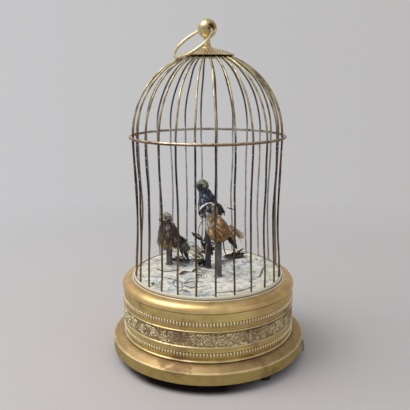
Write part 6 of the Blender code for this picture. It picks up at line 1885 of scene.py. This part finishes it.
# Pieces that keep their built shape

KEPT = {
    "foot": ("bottom_plate",),
    "steel": ("winding_key", "stop_lever", "barrel_arbor", "click", "whistle_piston",
              *(bird + "_push_rod" for bird in BIRD_NAMES)),
    "movement": ("movement_lower_plate", "movement_upper_plate", "mainspring_barrel", "cam_stack", "air_fly",
                 "whistle_tube", "rocker"),
    "collar": ("cage_foot_ring",),
    "wood": ("bellows_fixed_board", "bellows_moving_board"),
    "leather": ("bellows_leather",),
}


class FinishKept(bpy.types.Operator):
    """Gives the clockwork, bellows and whistle their finishes"""
    bl_idname = "bird_cage.kept"
    bl_label = "Clockwork finishes"

    def execute(self, context):
        for finish, nodes in KEPT.items():
            for name in nodes:
                coat(frame["nodes"][name], finish)
        return {"FINISHED"}


# Stage

BACKDROP_LEFT = (0.570, 0.570, 0.582)
BACKDROP_RIGHT = (0.505, 0.492, 0.490)
CEILING_LEFT = (0.92, 0.92, 0.92)
CEILING_RIGHT = (0.34, 0.34, 0.35)


def view_turn():
    return Matrix.Rotation(radians(VIEW_AZIMUTH), 4, "Z")


def aim(item, place, target):
    item.location = place
    item.rotation_euler = (target - place).to_track_quat("-Z", "Y").to_euler()


def add_light(name, place, target, size, power, colour):
    lamp = fresh(name, bpy.ops.object.light_add, type="AREA")
    lamp.data.shape = "RECTANGLE"
    lamp.data.size, lamp.data.size_y = size
    lamp.data.energy = power
    lamp.data.color = colour
    aim(lamp, view_turn() @ Vector(place), Vector(target))


class MakeStage(bpy.types.Operator):
    """Pale floor, soft lights and the camera at the photograph's angle"""
    bl_idname = "bird_cage.stage"
    bl_label = "Stage"

    def execute(self, context):
        ground = fresh("pale_floor", bpy.ops.mesh.primitive_circle_add, vertices=96, radius=6.0,
                       fill_type="NGON")
        ground.data.materials.append(self.floor_finish())
        self.make_world()
        middle = (0.0, 0.0, 0.11)
        add_light("key_light", (-0.50, -0.12, 0.95), middle, (0.60, 0.60), 6.7, (1.0, 0.985, 0.96))
        add_light("fill_light", (0.75, -0.75, 0.50), middle, (0.7, 0.7), 0.8, (0.95, 0.97, 1.0))
        self.make_camera()
        return {"FINISHED"}

    def floor_finish(self):
        """Matt floor that thins out into the backdrop well behind the cage, with a painted contact shadow
        under the plinth.
        """
        finish = Finish("pale_floor", roughness=0.85)
        colour = tone("floor")
        finish.colour(finish.mix(finish.patches(0.3, 0.7, 3.0, 4.0),
                                 tuple(c * 1.02 for c in colour), tuple(c * 0.98 for c in colour)))
        # Painted contact shadow: the floor under the plinth is laid near black, in a band across the view a
        # little left of the middle, fading at both ends.
        turned = radians(VIEW_AZIMUTH)
        side = finish.along(cos(turned), sin(turned))
        ends = finish.times(finish.span(side, 0.040, 0.012), finish.span(side, -0.066, -0.044))
        under = finish.span(finish.across(), PLINTH_RADIUS + 0.002, PLINTH_RADIUS - 0.005)
        finish.lay(finish.times(under, ends), (0.030, 0.022, 0.019))
        fade = finish.math("POWER", finish.span(finish.across(), 0.13, 0.62), 0.75)
        clear = finish.node("ShaderNodeBsdfTransparent")
        blend = finish.node("ShaderNodeMixShader", i0=finish.times(fade, finish.looked_at()),
                            i1=finish.shader.outputs[0], i2=clear.outputs[0])
        finish.feed(finish.tree.nodes["Material Output"].inputs["Surface"], blend.outputs[0])
        return finish.material

    def make_world(self):
        """Backdrop a little lighter on the left, a bright soft ceiling, and light mostly from above."""
        world = bpy.data.worlds.new("soft_room")
        bpy.context.scene.world = world
        world.use_nodes = True
        world.node_tree.nodes.clear()
        room = Chain(world.node_tree)
        aimed = room.node("ShaderNodeTexCoord").outputs["Generated"]
        sideways = room.node("ShaderNodeVectorMath", i0=aimed, i1=view_turn() @ Vector((1.0, 0.0, 0.0)))
        sideways.operation = "DOT_PRODUCT"
        sideways = sideways.outputs["Value"]
        upward = room.node("ShaderNodeSeparateXYZ", i0=aimed).outputs[2]
        wall = room.mix(room.span(sideways, -0.36, 0.36), BACKDROP_LEFT, BACKDROP_RIGHT)
        ceiling = room.mix(room.span(sideways, -0.70, 0.75), CEILING_LEFT, CEILING_RIGHT)
        shown = room.mix(room.span(upward, 0.14, 0.62), wall, ceiling)
        seen = room.node("ShaderNodeBackground", i0=shown)
        strength = room.node("ShaderNodeMapRange", i0=upward, i3=0.03, i4=0.82)
        light = room.node("ShaderNodeBackground", i0=(0.95, 0.96, 1.0, 1.0), i1=strength.outputs[0])
        blend = room.node("ShaderNodeMixShader", i0=room.looked_at(), i1=light.outputs[0],
                          i2=seen.outputs[0])
        room.node("ShaderNodeOutputWorld", i0=blend.outputs[0])

    def make_camera(self):
        pitch, yaw, roll = radians(VIEW_PITCH), radians(VIEW_YAW), radians(VIEW_ROLL)
        forward = Vector((sin(yaw) * cos(pitch), cos(yaw) * cos(pitch), -sin(pitch)))
        right = Vector((cos(yaw), -sin(yaw), 0.0))
        upward = right.cross(forward)
        x = right * cos(roll) + upward * sin(roll)
        y = upward * cos(roll) - right * sin(roll)
        place = Matrix.Translation((0.0, -VIEW_DISTANCE, VIEW_HEIGHT))
        camera = fresh("photograph_camera", bpy.ops.object.camera_add)
        camera.matrix_world = view_turn() @ place @ turned_onto(x, y, -forward)
        camera.data.sensor_width = SENSOR_WIDTH
        camera.data.lens = FOCAL_SHARE * SENSOR_WIDTH
        camera.data.clip_start = 0.01
        bpy.context.scene.camera = camera
        bpy.context.scene.view_settings.view_transform = "Standard"


PIECE_OPERATORS = (MakePlinth, MakeDrum, MakeBeading, MakeFrieze, MakeShoulder, MakeFeet, MakeGround,
                   MakeWires, MakeHoop, MakeCrown, MakeFinial, MakeRing, MakeBirds, MakeLitter, FinishKept,
                   MakeStage)


class BirdCagePanel(bpy.types.Panel):
    """Buttons for each piece of the bird cage"""
    bl_idname = "VIEW3D_PT_bird_cage"
    bl_label = "Bird Cage"
    bl_space_type = "VIEW_3D"
    bl_region_type = "UI"
    bl_category = "Bird Cage"

    def draw(self, context):
        for maker in PIECE_OPERATORS:
            self.layout.operator(maker.bl_idname)


CLASSES = (BirdCageSizes, BirdCageColours) + PIECE_OPERATORS + (BirdCagePanel,)


def register():
    for item in CLASSES:
        bpy.utils.register_class(item)
    bpy.types.Scene.bird_cage_sizes = PointerProperty(type=BirdCageSizes)
    bpy.types.Scene.bird_cage_colours = PointerProperty(type=BirdCageColours)


def unregister():
    del bpy.types.Scene.bird_cage_colours
    del bpy.types.Scene.bird_cage_sizes
    for item in reversed(CLASSES):
        bpy.utils.unregister_class(item)


def main():
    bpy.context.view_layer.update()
    register()
    make_finishes()
    for maker in PIECE_OPERATORS:
        group, name = maker.bl_idname.split(".")
        getattr(getattr(bpy.ops, group), name)()


if __name__ == "__main__":
    main()
